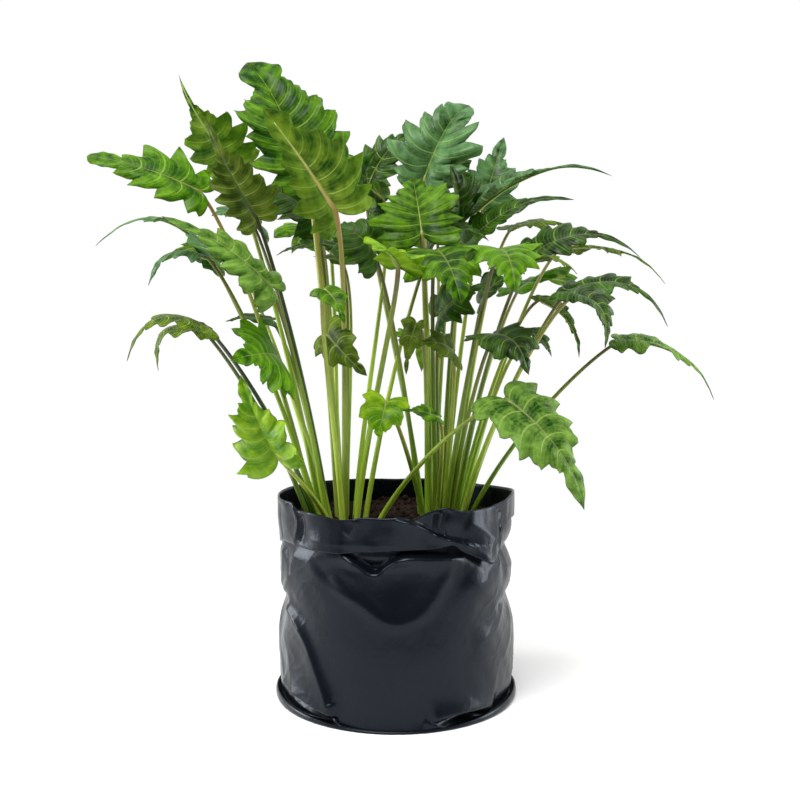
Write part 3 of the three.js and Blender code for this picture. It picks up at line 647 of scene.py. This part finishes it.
STALKS = {
    "lime": ((0, tint(200, 230, 84)), (0.14, tint(166, 202, 46)), (0.3, tint(144, 166, 46)),
             (0.46, tint(120, 112, 48)), (0.52, tint(160, 172, 86)), (1, tint(156, 190, 92))),
    "green": ((0, tint(184, 218, 72)), (0.14, tint(146, 186, 44)), (0.3, tint(146, 160, 50)),
              (0.46, tint(112, 98, 46)), (0.52, tint(150, 162, 86)), (1, tint(150, 186, 92))),
    "brown": ((0, tint(146, 176, 62)), (0.16, tint(138, 160, 54)), (0.34, tint(134, 132, 52)),
              (0.47, tint(130, 96, 56)), (0.53, tint(150, 128, 74)), (1, tint(166, 182, 96))),
    "dark": ((0, tint(110, 150, 54)), (0.16, tint(84, 120, 44)), (0.34, tint(64, 80, 38)),
             (0.47, tint(60, 58, 36)), (0.53, tint(100, 116, 62)), (1, tint(128, 160, 84))),
}


def stalk_finish(tone):
    """Stalk skin: colours in order from the foot to the blade and along the midrib, with long
    streaks and small marks."""
    skin = Finish("stalk_" + tone)
    climb = skin.attribute("climb")
    ramp = skin.node("ValToRGB", {"stops": STALKS[tone]}, {"Fac": climb * 0.5}, output="Color")
    streak = skin.noise(260, 2, stretch=(1, 1, 0.05))
    marks = skin.noise(900, 2)
    shade = skin.attribute("shade")
    colour = skin.mix((1 - shade * 2).clamped() * 0.8, ramp, tint(112, 118, 70), "MULTIPLY")
    colour = skin.mix((shade * 2 - 1).clamped() * 0.4, colour, tint(190, 188, 92))
    colour = skin.mix((streak - 0.3).clamped() * 0.8, colour, tint(140, 160, 110), "MULTIPLY")
    colour = skin.mix(((marks - 0.62) * 6).clamped() * 0.3, colour, tint(92, 96, 40))
    surface = skin.node("BsdfPrincipled", None, {
        "Base Color": colour, "Roughness": streak * 0.2 + 0.3, "Specular IOR Level": 0.45,
        "Normal": skin.bump(streak, 0.35, 0.4)})
    return skin.show(surface)


BLADE_FINISH = {tone: blade_finish(tone) for tone in BLADES}
STALK_FINISH = {tone: stalk_finish(tone) for tone in STALKS}


def grow_leaf(number, row, foot):
    rng = np.random.default_rng(100 + number)
    midrib = Midrib(row)
    blade_points, blade_faces, blade_values = blade_mesh(row, midrib, rng)
    tube_points, tube_faces, tube_values = stalk_mesh(row, midrib, foot)
    points = np.concatenate([blade_points, tube_points])
    faces = blade_faces + [f + len(blade_points) for f in tube_faces]
    values = {key: np.concatenate([blade_values[key], tube_values[key]])
              for key in blade_values}
    shade = row["light"] + rng.uniform(-0.15, 0.15), rng.uniform(0, 1)
    values["shade"] = np.repeat(shade, (len(blade_points), len(tube_points)))
    finishes = [BLADE_FINISH[row["skin"] or row["tone"]],
                STALK_FINISH[row["stalk"] or row["clump"]["stalk"]]]
    finish_of = [0] * len(blade_faces) + [1] * len(tube_faces)
    piece = add_piece(f"leaf_piece_{number:02d}", points, faces, finishes, values, finish_of)
    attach(piece, "root")
    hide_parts(f"leaf_{number:02d}")
    "leaf_" + row["tone"]


for clump in (LEFT, RIGHT):
    clump["members"] = [i for i, row in enumerate(LEAVES) if row["clump"] is clump]
    clump["feet"] = settle_feet([LEAVES[i] for i in clump["members"]])
    for i, foot in zip(clump["members"], clump["feet"]):
        grow_leaf(i + 1, LEAVES[i], foot)


# Grow bag. Places on its wall are an angle in degrees round from the front, to the right, and
# a height. The film is one skin: up the wall, under the cuff, over its lower edge, up its
# outside, over the rim, down the inside and across the bottom.
RIM_RADIUS = 116
MM_A_DEGREE = math.radians(RIM_RADIUS)
FLANGE = 117
FILM = 2.2
# Where the wall starts above the base, and how far the slot reaches up under the cuff.
WALL_START = 2.2
SLOT = 7
AROUND = 400
WALL_ROWS = 128
CUFF_ROWS = 36
LINING_ROWS = 20


def smooth_line(places):
    """Corners cut off a line of places twice, so that it bends gently and keeps its ends."""
    line = np.array(places, float)
    for _ in range(2):
        near = line[:-1] * 0.75 + line[1:] * 0.25
        far = line[:-1] * 0.25 + line[1:] * 0.75
        line = np.concatenate([line[:1], np.stack([near, far], 1).reshape(-1, 2), line[-1:]])
    return line


def beside_line(angle, height, places):
    """How far each place on the wall is from a line, in millimetres, above it or to its left
    positive, and how far along the line its nearest point is, from 0 to 1."""
    line = smooth_line(places) * (MM_A_DEGREE, 1)
    middle = line[:, 0].mean() / MM_A_DEGREE
    turned = (angle - middle + 180) % 360 - 180 + middle
    here = np.stack([turned * MM_A_DEGREE, height], -1)
    best = np.full(angle.shape, 1e9)
    side = np.ones(angle.shape)
    share = np.zeros(angle.shape)
    steps = np.linalg.norm(np.diff(line, axis=0), axis=1)
    before = np.concatenate([[0], np.cumsum(steps)]) / steps.sum()
    for i, (a, b) in enumerate(zip(line[:-1], line[1:])):
        run = b - a
        t = np.clip(((here - a) @ run) / (run @ run), 0, 1)
        away = here - a - t[..., None] * run
        gap = np.linalg.norm(away, axis=-1)
        nearer = gap < best
        best = np.where(nearer, gap, best)
        turned_to = np.sign(run[0] * away[..., 1] - run[1] * away[..., 0] + 1e-9)
        side = np.where(nearer, turned_to, side)
        share = np.where(nearer, before[i] + t * (before[i + 1] - before[i]), share)
    return best * side, share


def soft_step(x):
    x = np.clip(x, 0, 1)
    return x * x * (3 - 2 * x)


def fading(share, fade):
    """1 along a line, falling to 0 at its ends over a share fade of its length."""
    return np.clip(np.minimum(share, 1 - share) / fade, 0, 1)


def crease(angle, height, places, lift, above, below, fade=0.15):
    """A sharp fold that stands out, or sinks in, by lift: exp(-distance / width), with its own
    width on each side, fading at both ends."""
    gap, share = beside_line(angle, height, places)
    width = np.where(gap > 0, above, below)
    soft = np.sqrt(gap ** 2 + 0.5) - 0.5
    return lift * np.exp(-soft / width) * soft_step(fading(share, fade))


def swell(angle, height, centre, lift, wide, tall, slant=0.0):
    """A soft dent or bulge: lift * exp(-(x/wide)^2 - (y/tall)^2) about a centre, leaning by
    slant degrees."""
    turned = (angle - centre[0] + 180) % 360 - 180
    x = turned * MM_A_DEGREE
    y = height - centre[1]
    c, s = math.cos(math.radians(slant)), math.sin(math.radians(slant))
    along, off = x * c + y * s, y * c - x * s
    return lift * np.exp(-(along / wide) ** 2 - (off / tall) ** 2)


def blended(table, column, after, row, share_x, share_y):
    """What a table holds between four of its numbers, joined by smooth steps."""
    x, y = soft_step(share_x), soft_step(share_y)
    low = table[row, column] * (1 - x) + table[row, after] * x
    high = table[row + 1, column] * (1 - x) + table[row + 1, after] * x
    return low * (1 - y) + high * y


def lattice_noise(rng, angle, height, around, step):
    """Smooth noise from -1 to 1: random heights on a lattice of so many cells round and step
    millimetres tall, joined by smooth steps."""
    rows = int(260 / step) + 3
    table = rng.uniform(-1, 1, (rows, around))
    x = (angle % 360) / 360 * around
    y = np.clip(height, 0, 250) / step
    i, j = np.floor(x).astype(int), np.floor(y).astype(int)
    return blended(table, i % around, (i + 1) % around, j, x - i, y - j)


def round_values(places, blur=1.2):
    """Heights or widths all the way round, from places given as (angle, value), slightly
    smoothed along the angle."""
    places = np.array(sorted(places), float)
    angles = np.concatenate([places[:, 0] - 360, places[:, 0], places[:, 0] + 360])
    values = np.tile(places[:, 1], 3)
    spread = np.arange(-5, 6) / 2 * blur
    weights = np.exp(-np.arange(-5, 6) ** 2 / 8)
    return lambda angle: sum(
        w * np.interp(angle + s, angles, values) for w, s in zip(weights, spread)
    ) / weights.sum()


cuff_edge = round_values([
    (-170, 152), (-150, 149), (-120, 154), (-90, 151), (-68, 160.6), (-57, 161.6), (-43, 160.7),
    (-25, 162), (-9, 165), (3, 165.5), (19, 166.5), (28, 168.5), (31, 163), (38, 156.4),
    (46, 147.5), (49, 150), (52, 158.4), (55, 165.7), (62, 176), (70, 181), (95, 180), (110, 170),
    (125, 156), (145, 151)], 0.8)
rim_height = round_values([
    (-180, 195), (-150, 197), (-110, 199), (-90, 200), (-74, 201), (-58, 201.6), (-53, 194.5),
    (-43, 196), (-35, 194.6), (-25, 193), (-15, 196.5), (-4, 196), (2.5, 197.6), (8, 194.5),
    (14, 200), (24, 204.5), (32, 199.7), (47, 199), (65, 202), (80, 204.7), (100, 201),
    (130, 196), (155, 197)], 1.2)
rim_reach = round_values([
    (-180, -1), (-140, 0.5), (-100, 1), (-80, 1.5), (-62, 2.5), (-54, -2.5), (-45, 0.5),
    (-30, 0), (-20, 1.5), (-10, -0.5), (2, 0.5), (8, 2.5), (14, -2), (20, -3.5), (25, 1),
    (35, 0), (50, -0.5), (66, 2), (80, 1), (95, 2), (110, -1), (150, 1)], 1.5)
cuff_stand = round_values([
    (-180, 3.5), (-120, 3), (-80, 2), (-60, 2.2), (-30, 3.5), (-18, 5), (-5, 4.5), (10, 5.5),
    (22, 5.5), (30, 4.5), (40, 8), (47, 9.5), (52, 8), (60, 5), (80, 3.5), (120, 3.5)], 1.5)


# Creases of the wall: each one's line, how far it stands out, and its width above and below.
WALL_CREASES = [
    # The long crease on the left and the streaks beside it.
    ([(-71, 105), (-54.3, 92.3), (-43.3, 68.5), (-35.5, 38), (-30.5, 18.1), (-27.7, 7.4)],
     4.6, 5, 22),
    ([(-70, 78), (-62, 59), (-55, 32), (-50, 14)], 1.4, 8, 10),
    ([(-84, 100), (-78, 70), (-72, 30), (-70, 14)], 1.5, 6, 6),
    # Waist notches at both sides.
    ([(-112, 98), (-90, 106), (-72, 107), (-60, 103)], -5, 6, 12),
    ([(54, 99), (70, 105), (88, 103), (112, 96)], -4.6, 7, 14),
    ([(56, 150), (72, 152), (90, 153), (108, 150)], -9, 9, 15),
    # Creases that fan out from the notches.
    ([(-72, 107), (-62, 124), (-56, 146), (-54, 160)], 2.4, 6, 8),
    ([(-76, 107), (-70, 130), (-70, 156)], 1.8, 5, 6),
    ([(-66, 156), (-61, 140), (-60, 128)], -1.6, 4, 4),
    ([(70, 104), (58, 112), (44, 120), (33, 140)], 1.6, 12, 14),
    ([(72, 104), (62, 92), (52, 78), (37, 72)], 1.5, 8, 12),
    ([(80, 100), (76, 80), (70, 60), (62, 46)], 1.4, 5, 8),
    ([(52, 152), (62, 140), (76, 132), (92, 133)], 2.2, 7, 10),
    # The dents at the foot.
    ([(15, 8), (19, 11), (26, 13), (34, 13.4), (44, 9), (55, 3)], 6, 12, 1.8, 0.12),
    ([(12, 10), (18, 5), (25, 1)], 2.4, 3, 3),
    ([(-74, 24), (-60, 15.5), (-44, 10), (-26, 3)], -9, 4, 6),
    ([(-69, 30), (-59, 24.5), (-44, 18), (-26, 10)], 7.5, 12, 1.6),
    ([(-30, 24), (-29, 14), (-31, 3)], 2.2, 3, 5),
    # Round the back, where nothing is seen, the film has the same kind of folds.
    ([(150, 150), (162, 118), (184, 84), (200, 40)], 3, 8, 14),
    ([(120, 96), (138, 104), (160, 98), (176, 104)], -4, 7, 12),
    ([(206, 150), (214, 122), (232, 104), (250, 100)], 3, 6, 12),
    ([(210, 92), (222, 60), (236, 30), (240, 10)], 2.6, 7, 12),
    ([(118, 80), (126, 50), (132, 14)], 2.2, 7, 12),
]
# Soft bulges and dents of the wall: centre, how far out, half-width, half-height and slant.
WALL_SWELLS = [
    ((-33, 137), -2.2, 22, 8, -20),
    ((-28, 136), 1.3, 9, 4, -25),
    ((40, 128), 2.6, 22, 16),
    ((0, 55), 1.5, 60, 36),
    ((-88, 50), 2.0, 18, 40),
    ((88, 60), 2.0, 18, 40),
    ((34, 7.0), -10, 25, 4.2, -2),
]
# The V fold below the cuff, and the lower edge of the wide hollow under it.
V_FOLD = [(-27, 161), (-19, 153), (-10, 141.6), (-4.5, 150), (3.4, 160.6), (15.5, 158.8),
          (33, 156)]
HEART = [(-47, 155), (-40.6, 140), (-28.3, 130.3), (-15.9, 116.4), (-7.7, 104.3), (-0.6, 98.4),
         (8.2, 102.6), (14.7, 111.7), (19.8, 127.2), (24.1, 142.7), (26, 154)]


def wall_folds(angle, height):
    """All that stands out from the round wall, or sinks in: the V fold with a hollow above it,
    the heart-shaped hollow under it, soft bulges and dents, and sharp creases."""
    add = np.zeros(angle.shape)
    gap, share = beside_line(angle, height, V_FOLD)
    ends = fading(share, 0.12)
    hollow = soft_step(gap / 5) * np.exp(-np.maximum(gap, 0) / 30)
    add -= 8.5 * hollow * ends
    soft = np.sqrt(gap ** 2 + 0.2) - 0.45
    add += 3.2 * np.exp(-soft / np.where(gap > 0, 2.6, 13)) * ends
    gap, share = beside_line(angle, height, HEART)
    ends = fading(share, 0.1)
    add -= 6.0 * soft_step(gap / 46) * (1 - soft_step((height - 146) / 14)) * ends
    add += 1.5 * np.exp(-(gap / 6) ** 2) * ends
    for fold in WALL_CREASES:
        add += crease(angle, height, *fold)
    for bulge in WALL_SWELLS:
        add += swell(angle, height, *bulge)
    return add


def wall_ripples(angle, height):
    """Ripples of the film: three sizes of noise, the finest folded into thin ridges. The front,
    where the film is stretched, has few of them."""
    rng = np.random.default_rng(7)
    wide = lattice_noise(rng, angle, height, 22, 34) * 1.1
    middle = lattice_noise(rng, angle + height * 0.3, height, 56, 14) * 0.35
    thin = 1 - np.abs(lattice_noise(rng, angle - height * 0.4, height, 70, 17)) * 2
    turned = np.abs((angle + 182) % 360 - 180)
    rough = 0.2 + 0.8 * soft_step((turned - 26) / 24)
    return wide * (0.4 + 0.6 * rough) + (middle + np.maximum(thin, 0) ** 3 * 0.3) * rough


def wall_radius(angle, height):
    """The wall's radius, with its foot drawn in at the sides and spread at the front, a waist
    at both sides, a slight hollow under the cuff, and its folds and ripples."""
    turned = np.abs((angle + 180) % 360 - 180)
    beside = np.clip((turned - 14) / 34, 0, 1)
    foot = (5.5 * beside - 2.6 * (1 - beside)) * np.exp(-height / 10)
    under_cuff = 2.0 * np.exp(-((height - cuff_edge(angle) - 2) / 7) ** 2)
    waist = 2.4 * np.exp(-((height - 98) / 15) ** 2) * np.clip((turned - 20) / 60, 0, 1)
    return (RIM_RADIUS - 1.4 - foot - waist - under_cuff + wall_folds(angle, height)
            + wall_ripples(angle, height))


# Creases of the cuff: two dark pleats behind the slanting fold and the ridge between them, an
# upright fold on the left with dents at its sides, small ones, and the lines of the flap.
CUFF_CREASES = [
    ([(19.5, 200), (18.6, 190), (20, 178)], -4, 2.2, 1.6),
    ([(24.5, 203), (22.4, 190), (23, 176)], -3.4, 1.6, 2.6),
    ([(22, 202), (20.6, 190), (21.4, 177)], 1.6, 1.2, 1.2),
    ([(-58, 201), (-53, 188), (-54, 168), (-57, 160)], 2.6, 4, 5),
    ([(-50, 195), (-48, 180), (-50, 164)], -2.2, 4, 5),
    ([(-70, 200), (-72, 180), (-70, 160)], -1.6, 5, 5),
    ([(-18, 195), (-19, 187), (-22, 178)], 1.6, 2, 3),
    ([(57, 196), (56, 184), (58, 174)], -1.8, 3, 3),
    ([(33, 190), (44, 180), (52, 166)], 1.8, 9, 9),
    ([(31, 172), (38, 164), (46, 150)], 1.4, 4, 4),
    ([(-45, 171), (-20, 170), (10, 172)], 0.8, 5, 5),
]
# The slanting fold that ends in the flap.
SLANT = [(-2, 195), (2.6, 193.6), (8, 192), (14.7, 184), (19.7, 178.5), (25, 173.6), (31, 171)]


def cuff_folds(angle, height):
    """The slanting fold with the hollow above it, the creases, and small ripples."""
    add = np.zeros(angle.shape)
    gap, share = beside_line(angle, height, SLANT)
    ends = np.clip(np.minimum(share, 1.3 - share) / 0.2, 0, 1)
    add += 3.4 * np.exp(-np.abs(gap) / np.where(gap > 0, 3, 9)) * ends
    add -= 4.0 * np.clip(gap / 3, 0, 1) * np.exp(-np.maximum(gap - 3, 0) / 7) * ends
    for fold in CUFF_CREASES:
        add += crease(angle, height, *fold)
    rng = np.random.default_rng(11)
    add += lattice_noise(rng, angle, height, 30, 26) * 0.9
    add += lattice_noise(rng, angle, height, 84, 9) * 0.3
    return add


def bag_rings():
    """The profile as rows of points, from the middle of the underside to the middle of the
    bag's floor. Every row is a radius and a height at each angle round."""
    angle = np.arange(AROUND) / AROUND * TAU
    # Angles crowd towards the front, where the folds are.
    angle = np.degrees(angle - 0.42 * np.sin(angle))
    flat = np.ones(AROUND)
    lip = 2.6 + 7.5 * np.abs(np.sin(np.radians(angle))) ** 2.4
    rows = [(radius * flat, 0 * flat) for radius in (40, 90, 113)]
    # The flange's rounded edge: its outer side, then its inner side.
    for start, stop, middle, bulge in ((-80, 20, FLANGE, 2.6), (35, 150, FLANGE + 1, 1.5)):
        for s in np.radians(np.linspace(start, stop, 6)):
            rows.append((middle + bulge * np.cos(s) * flat, lip * (0.5 + 0.5 * np.sin(s))))
    foot = wall_radius(angle, 2.0 * flat)
    rows.append((np.minimum(FLANGE, foot + 1.2), 1.6 * flat))
    edge, top = cuff_edge(angle), rim_height(angle)
    slot = edge + SLOT
    for s in np.linspace(0, 1, WALL_ROWS):
        height = WALL_START + (slot - WALL_START) * s ** 1.1
        rows.append((wall_radius(angle, height), height))
    face = wall_radius(angle, slot)
    cuff_low = np.maximum(wall_radius(angle, edge), face - 2) + cuff_stand(angle)
    rows += [(face + 0.8, slot + 0.6), (face + cuff_stand(angle) - 1.9, slot),
             (cuff_low - 1.6, edge + 1.2), (cuff_low - 0.9, edge + 0.1)]
    for s in np.linspace(0, 1, CUFF_ROWS):
        height = edge + 0.6 + (top - 1.6 - edge) * s
        blend = s ** 0.8
        low, high = cuff_low + 0.2, RIM_RADIUS - 1 + rim_reach(angle)
        fold = cuff_folds(angle, height) * np.clip(0.35 + s * 2, 0, 1)
        rows.append((low * (1 - blend) + high * blend + fold, height))
    crest = rows[-1][0]
    rows += [(crest - 0.35, top - 0.3), (crest - 1.0, top), (crest - 1.7, top - 0.4)]
    inside = crest - 2.0
    for s in np.linspace(0.04, 1, LINING_ROWS):
        height = top - 0.8 - (top - 158) * s
        wall = wall_radius(angle, height) - FILM
        rows.append((inside * (1 - s) + np.minimum(wall, inside) * s, height))
    for height, radius in ((132, 101), (90, 101), (40, 103), (4, 101), (3, 80), (3, 30)):
        rows.append((radius * flat, height * flat))
    turn = np.radians(angle)
    return np.stack([np.stack([r * np.sin(turn), -r * np.cos(turn), z], -1) for r, z in rows])


def film_finish():
    """Black polythene: blue-black, semi-gloss, with faint cloudiness and tiny ripples."""
    film = Finish("black_polythene")
    cloud = film.noise(26, 4)
    haze = film.noise(140, 3)
    ripple = film.noise(75, 3, stretch=(1, 1, 0.7))
    fine = film.noise(900, 2)
    colour = film.mix(cloud, tint(4, 6, 10), tint(10, 13, 20))
    rough = cloud * 0.12 + haze * 0.08 + 0.2
    bumps = film.bump(ripple, 0.25, 2.0)
    surface = film.node("BsdfPrincipled", None, {
        "Base Color": colour, "Roughness": rough, "Specular IOR Level": 0.24,
        "Specular Tint": (0.72, 0.84, 1.0),
        "Normal": film.bump(fine, 0.12, 0.2, bumps)})
    return film.show(surface)


def build_bag():
    rings = bag_rings()
    index = np.arange(rings.shape[0] * AROUND).reshape(-1, AROUND)
    count = index.size
    ends = np.array([(0, 0, 0), (0, 0, 3.0)])
    points = np.concatenate([rings.reshape(-1, 3), ends])
    faces = [grid_faces(index, wrap=True)[:, ::-1], fan(count, index[0], flip=True),
             fan(count + 1, index[-1])]
    bag = add_piece("bag_film", points, faces, [film_finish()])
    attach(bag, "root")
    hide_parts("grow_bag")


build_bag()


# Soil: a plug with a crumbled top, and loose crumbs on it.
SOIL_TOP = 174
SOIL_TURNS = 150
SOIL_RINGS = 96
CRUMBS = 420
CRUMB_REACH = 106
NOISE_CELLS = 80
# The plug below its crumbled top: heights and radii.
PLUG = ((3.6, 96), (60, 96), (120, 96), (156, 98))


def plane_noise(rng, x, y, size):
    """Smooth noise from -1 to 1 on a square lattice of cells of one size."""
    table = rng.uniform(-1, 1, (NOISE_CELLS, NOISE_CELLS))
    u, v = x / size + NOISE_CELLS / 2, y / size + NOISE_CELLS / 2
    i, j = (np.floor(w).astype(int) % (NOISE_CELLS - 1) for w in (u, v))
    return blended(table, i, i + 1, j, u % 1, v % 1)


def soil_height(x, y):
    """Four sizes of noise, the two finest as rounded lumps."""
    rng = np.random.default_rng(3)
    wide = plane_noise(rng, x, y, 34) * 2.2 + plane_noise(rng, x, y, 13) * 1.5
    lumps = np.abs(plane_noise(rng, x, y, 6.0)) * 2.6 + np.abs(plane_noise(rng, x, y, 3.1)) * 1.5
    return SOIL_TOP - 2 + wide + lumps


def soil_finish():
    """Dark crumbly compost: brown crumbs in several shades, a few pale fibres."""
    soil = Finish("dark_compost")
    coarse = soil.noise(240, 5, 0.7)
    fine = soil.noise(1100, 4, 0.7)
    colour = soil.mix(((coarse - 0.3) * 2.2).clamped(), tint(14, 9, 7), tint(56, 32, 22))
    colour = soil.mix(((fine - 0.6) * 7).clamped() * 0.6, colour, tint(104, 68, 46))
    bumps = soil.bump(fine + coarse * 1.5, 0.9, 1.0)
    surface = soil.node("BsdfPrincipled", None, {
        "Base Color": colour, "Roughness": 0.95, "Specular IOR Level": 0.2, "Normal": bumps})
    return soil.show(surface)


def crumb_shape():
    """A ball of 42 points and 80 faces: an icosahedron with each face cut in four."""
    g = (1 + 5 ** 0.5) / 2
    points = [(-1, g, 0), (1, g, 0), (-1, -g, 0), (1, -g, 0), (0, -1, g), (0, 1, g), (0, -1, -g),
              (0, 1, -g), (g, 0, -1), (g, 0, 1), (-g, 0, -1), (-g, 0, 1)]
    faces = [(0, 11, 5), (0, 5, 1), (0, 1, 7), (0, 7, 10), (0, 10, 11), (1, 5, 9), (5, 11, 4),
             (11, 10, 2), (10, 7, 6), (7, 1, 8), (3, 9, 4), (3, 4, 2), (3, 2, 6), (3, 6, 8),
             (3, 8, 9), (4, 9, 5), (2, 4, 11), (6, 2, 10), (8, 6, 7), (9, 8, 1)]
    middles, cut = {}, []

    def middle(a, b):
        key = (min(a, b), max(a, b))
        if key not in middles:
            middles[key] = len(points)
            points.append(tuple((np.array(points[a]) + np.array(points[b])) / 2))
        return middles[key]

    for a, b, c in faces:
        ab, bc, ca = middle(a, b), middle(b, c), middle(c, a)
        cut += [(a, ab, ca), (b, bc, ab), (c, ca, bc), (ab, bc, ca)]
    return unit(np.array(points)), np.array(cut)


def build_soil():
    angle = np.arange(SOIL_TURNS) / SOIL_TURNS * 360
    turn = np.radians(angle)
    flat = np.ones(SOIL_TURNS)
    rows = [np.stack([radius * np.sin(turn), -radius * np.cos(turn), height * flat], -1)
            for height, radius in PLUG]
    edge = wall_radius(angle, (SOIL_TOP - 2) * flat) - FILM - 1.0
    for share in np.linspace(1, 0.012, SOIL_RINGS):
        x, y = edge * share * np.sin(turn), -edge * share * np.cos(turn)
        rows.append(np.stack([x, y, soil_height(x, y)], -1))
    grid = np.stack(rows)
    index = np.arange(len(grid) * SOIL_TURNS).reshape(-1, SOIL_TURNS)
    count = index.size
    ends = np.array([(0, 0, PLUG[0][0]), (0, 0, soil_height(np.zeros(1), np.zeros(1))[0])])
    parts = [grid.reshape(-1, 3), ends]
    faces = [grid_faces(index, wrap=True)[:, ::-1], fan(count, index[0], flip=True),
             fan(count + 1, index[-1])]
    ball, ball_faces = crumb_shape()
    rng = np.random.default_rng(21)
    far = np.sqrt(rng.uniform(0, 1, CRUMBS)) * CRUMB_REACH
    way = rng.uniform(0, TAU, CRUMBS)
    x, y = far * np.sin(way), far * np.cos(way)
    size = rng.uniform(0.9, 3.0, CRUMBS)
    centres = np.stack([x, y, soil_height(x, y) + size * 0.25], -1)
    rough = 1 + rng.uniform(-0.28, 0.28, (CRUMBS, len(ball)))
    stretch = rng.uniform(0.6, 1.3, (CRUMBS, 1, 3))
    balls = centres[:, None, :] + ball[None] * rough[..., None] * stretch * size[:, None, None]
    offset = count + 2 + np.arange(CRUMBS)[:, None, None] * len(ball)
    parts.append(balls.reshape(-1, 3))
    faces.append((ball_faces[None] + offset).reshape(-1, 3))
    soil = add_piece("soil_crumbs", np.concatenate(parts), faces, [soil_finish()])
    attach(soil, "root")
    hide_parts("potting_soil")


build_soil()


# Studio: a pale floor that fades into a pale surround, and soft lights.
FLOOR_TURNS = 96


def build_floor():
    turn = np.arange(FLOOR_TURNS) / FLOOR_TURNS * TAU
    radii = np.array((300, 700, 1300, 2200, 4000, 9000.0))
    grid = np.stack([np.stack([r * np.cos(turn), r * np.sin(turn), 0 * turn], -1) for r in radii])
    index = np.arange(len(radii) * FLOOR_TURNS).reshape(-1, FLOOR_TURNS)
    points = np.concatenate([grid.reshape(-1, 3), [(0, 0, 0)]])
    faces = [grid_faces(index, wrap=True), fan(index.size, index[0])]
    paper = Finish("pale_floor")
    far = paper.node("VectorMath", {"operation": "LENGTH"}, {0: paper.place()}, output="Value")
    fade = ((0.95 - far) * 2.2).clamped()
    surface = paper.node("BsdfPrincipled", None, {
        "Base Color": tint(250, 250, 250), "Roughness": 0.9, "Specular IOR Level": 0.1,
        "Alpha": fade})
    floor = add_piece("floor", points, faces, [paper.show(surface)])


def build_surround():
    """White to the camera. As light, white above and behind the plant and dimmer in front."""
    world = bpy.data.worlds.new("surround")
    bpy.context.scene.world = world
    sky = Nodes(world)
    way = sky.node("TexCoord", output="Generated")
    depth = sky.node("SeparateXYZ", None, {0: way}, output="Y")
    strength = sky.node("MapRange", None, {
        "Value": depth, "From Min": -0.8, "From Max": 0.4, "To Min": 0.16, "To Max": 1.0})
    light = sky.node("Background", None, {"Color": (1, 1, 1), "Strength": strength})
    pale = sky.node("Background", None, {"Color": (1, 1, 1), "Strength": 1.0})
    ray = sky.node("LightPath", output="Is Camera Ray")
    both = sky.node("MixShader", None, {0: ray, 1: light, 2: pale})
    sky.node("OutputWorld", None, {0: both})


def add_light(name, place, target, size, power):
    data = bpy.data.lights.new(name, "AREA")
    data.shape = "RECTANGLE"
    data.size, data.size_y = size
    data.energy = power
    light = bpy.data.objects.new(name, data)
    place, target = np.array(place, float), np.array(target, float)
    back = unit(place - target)
    right = unit(np.cross((0, 0, 1), back))
    up = np.cross(back, right)
    matrix = np.eye(4)
    matrix[:3, 0], matrix[:3, 1], matrix[:3, 2], matrix[:3, 3] = right, up, back, place
    light.matrix_world = Matrix(matrix.tolist())
    bpy.context.scene.collection.objects.link(light)


build_floor()
build_surround()
add_light("key", (-0.5, -1.2, 2.2), (0, 0, 0.35), (1.3, 1.3), 66)
add_light("left_side", (-1.5, 0.1, 0.5), (0, 0, 0.2), (0.45, 1.0), 20)
add_light("right_side", (1.5, 0.0, 0.5), (0, 0, 0.2), (0.45, 1.0), 15)
bpy.context.scene.view_settings.view_transform = "Standard"
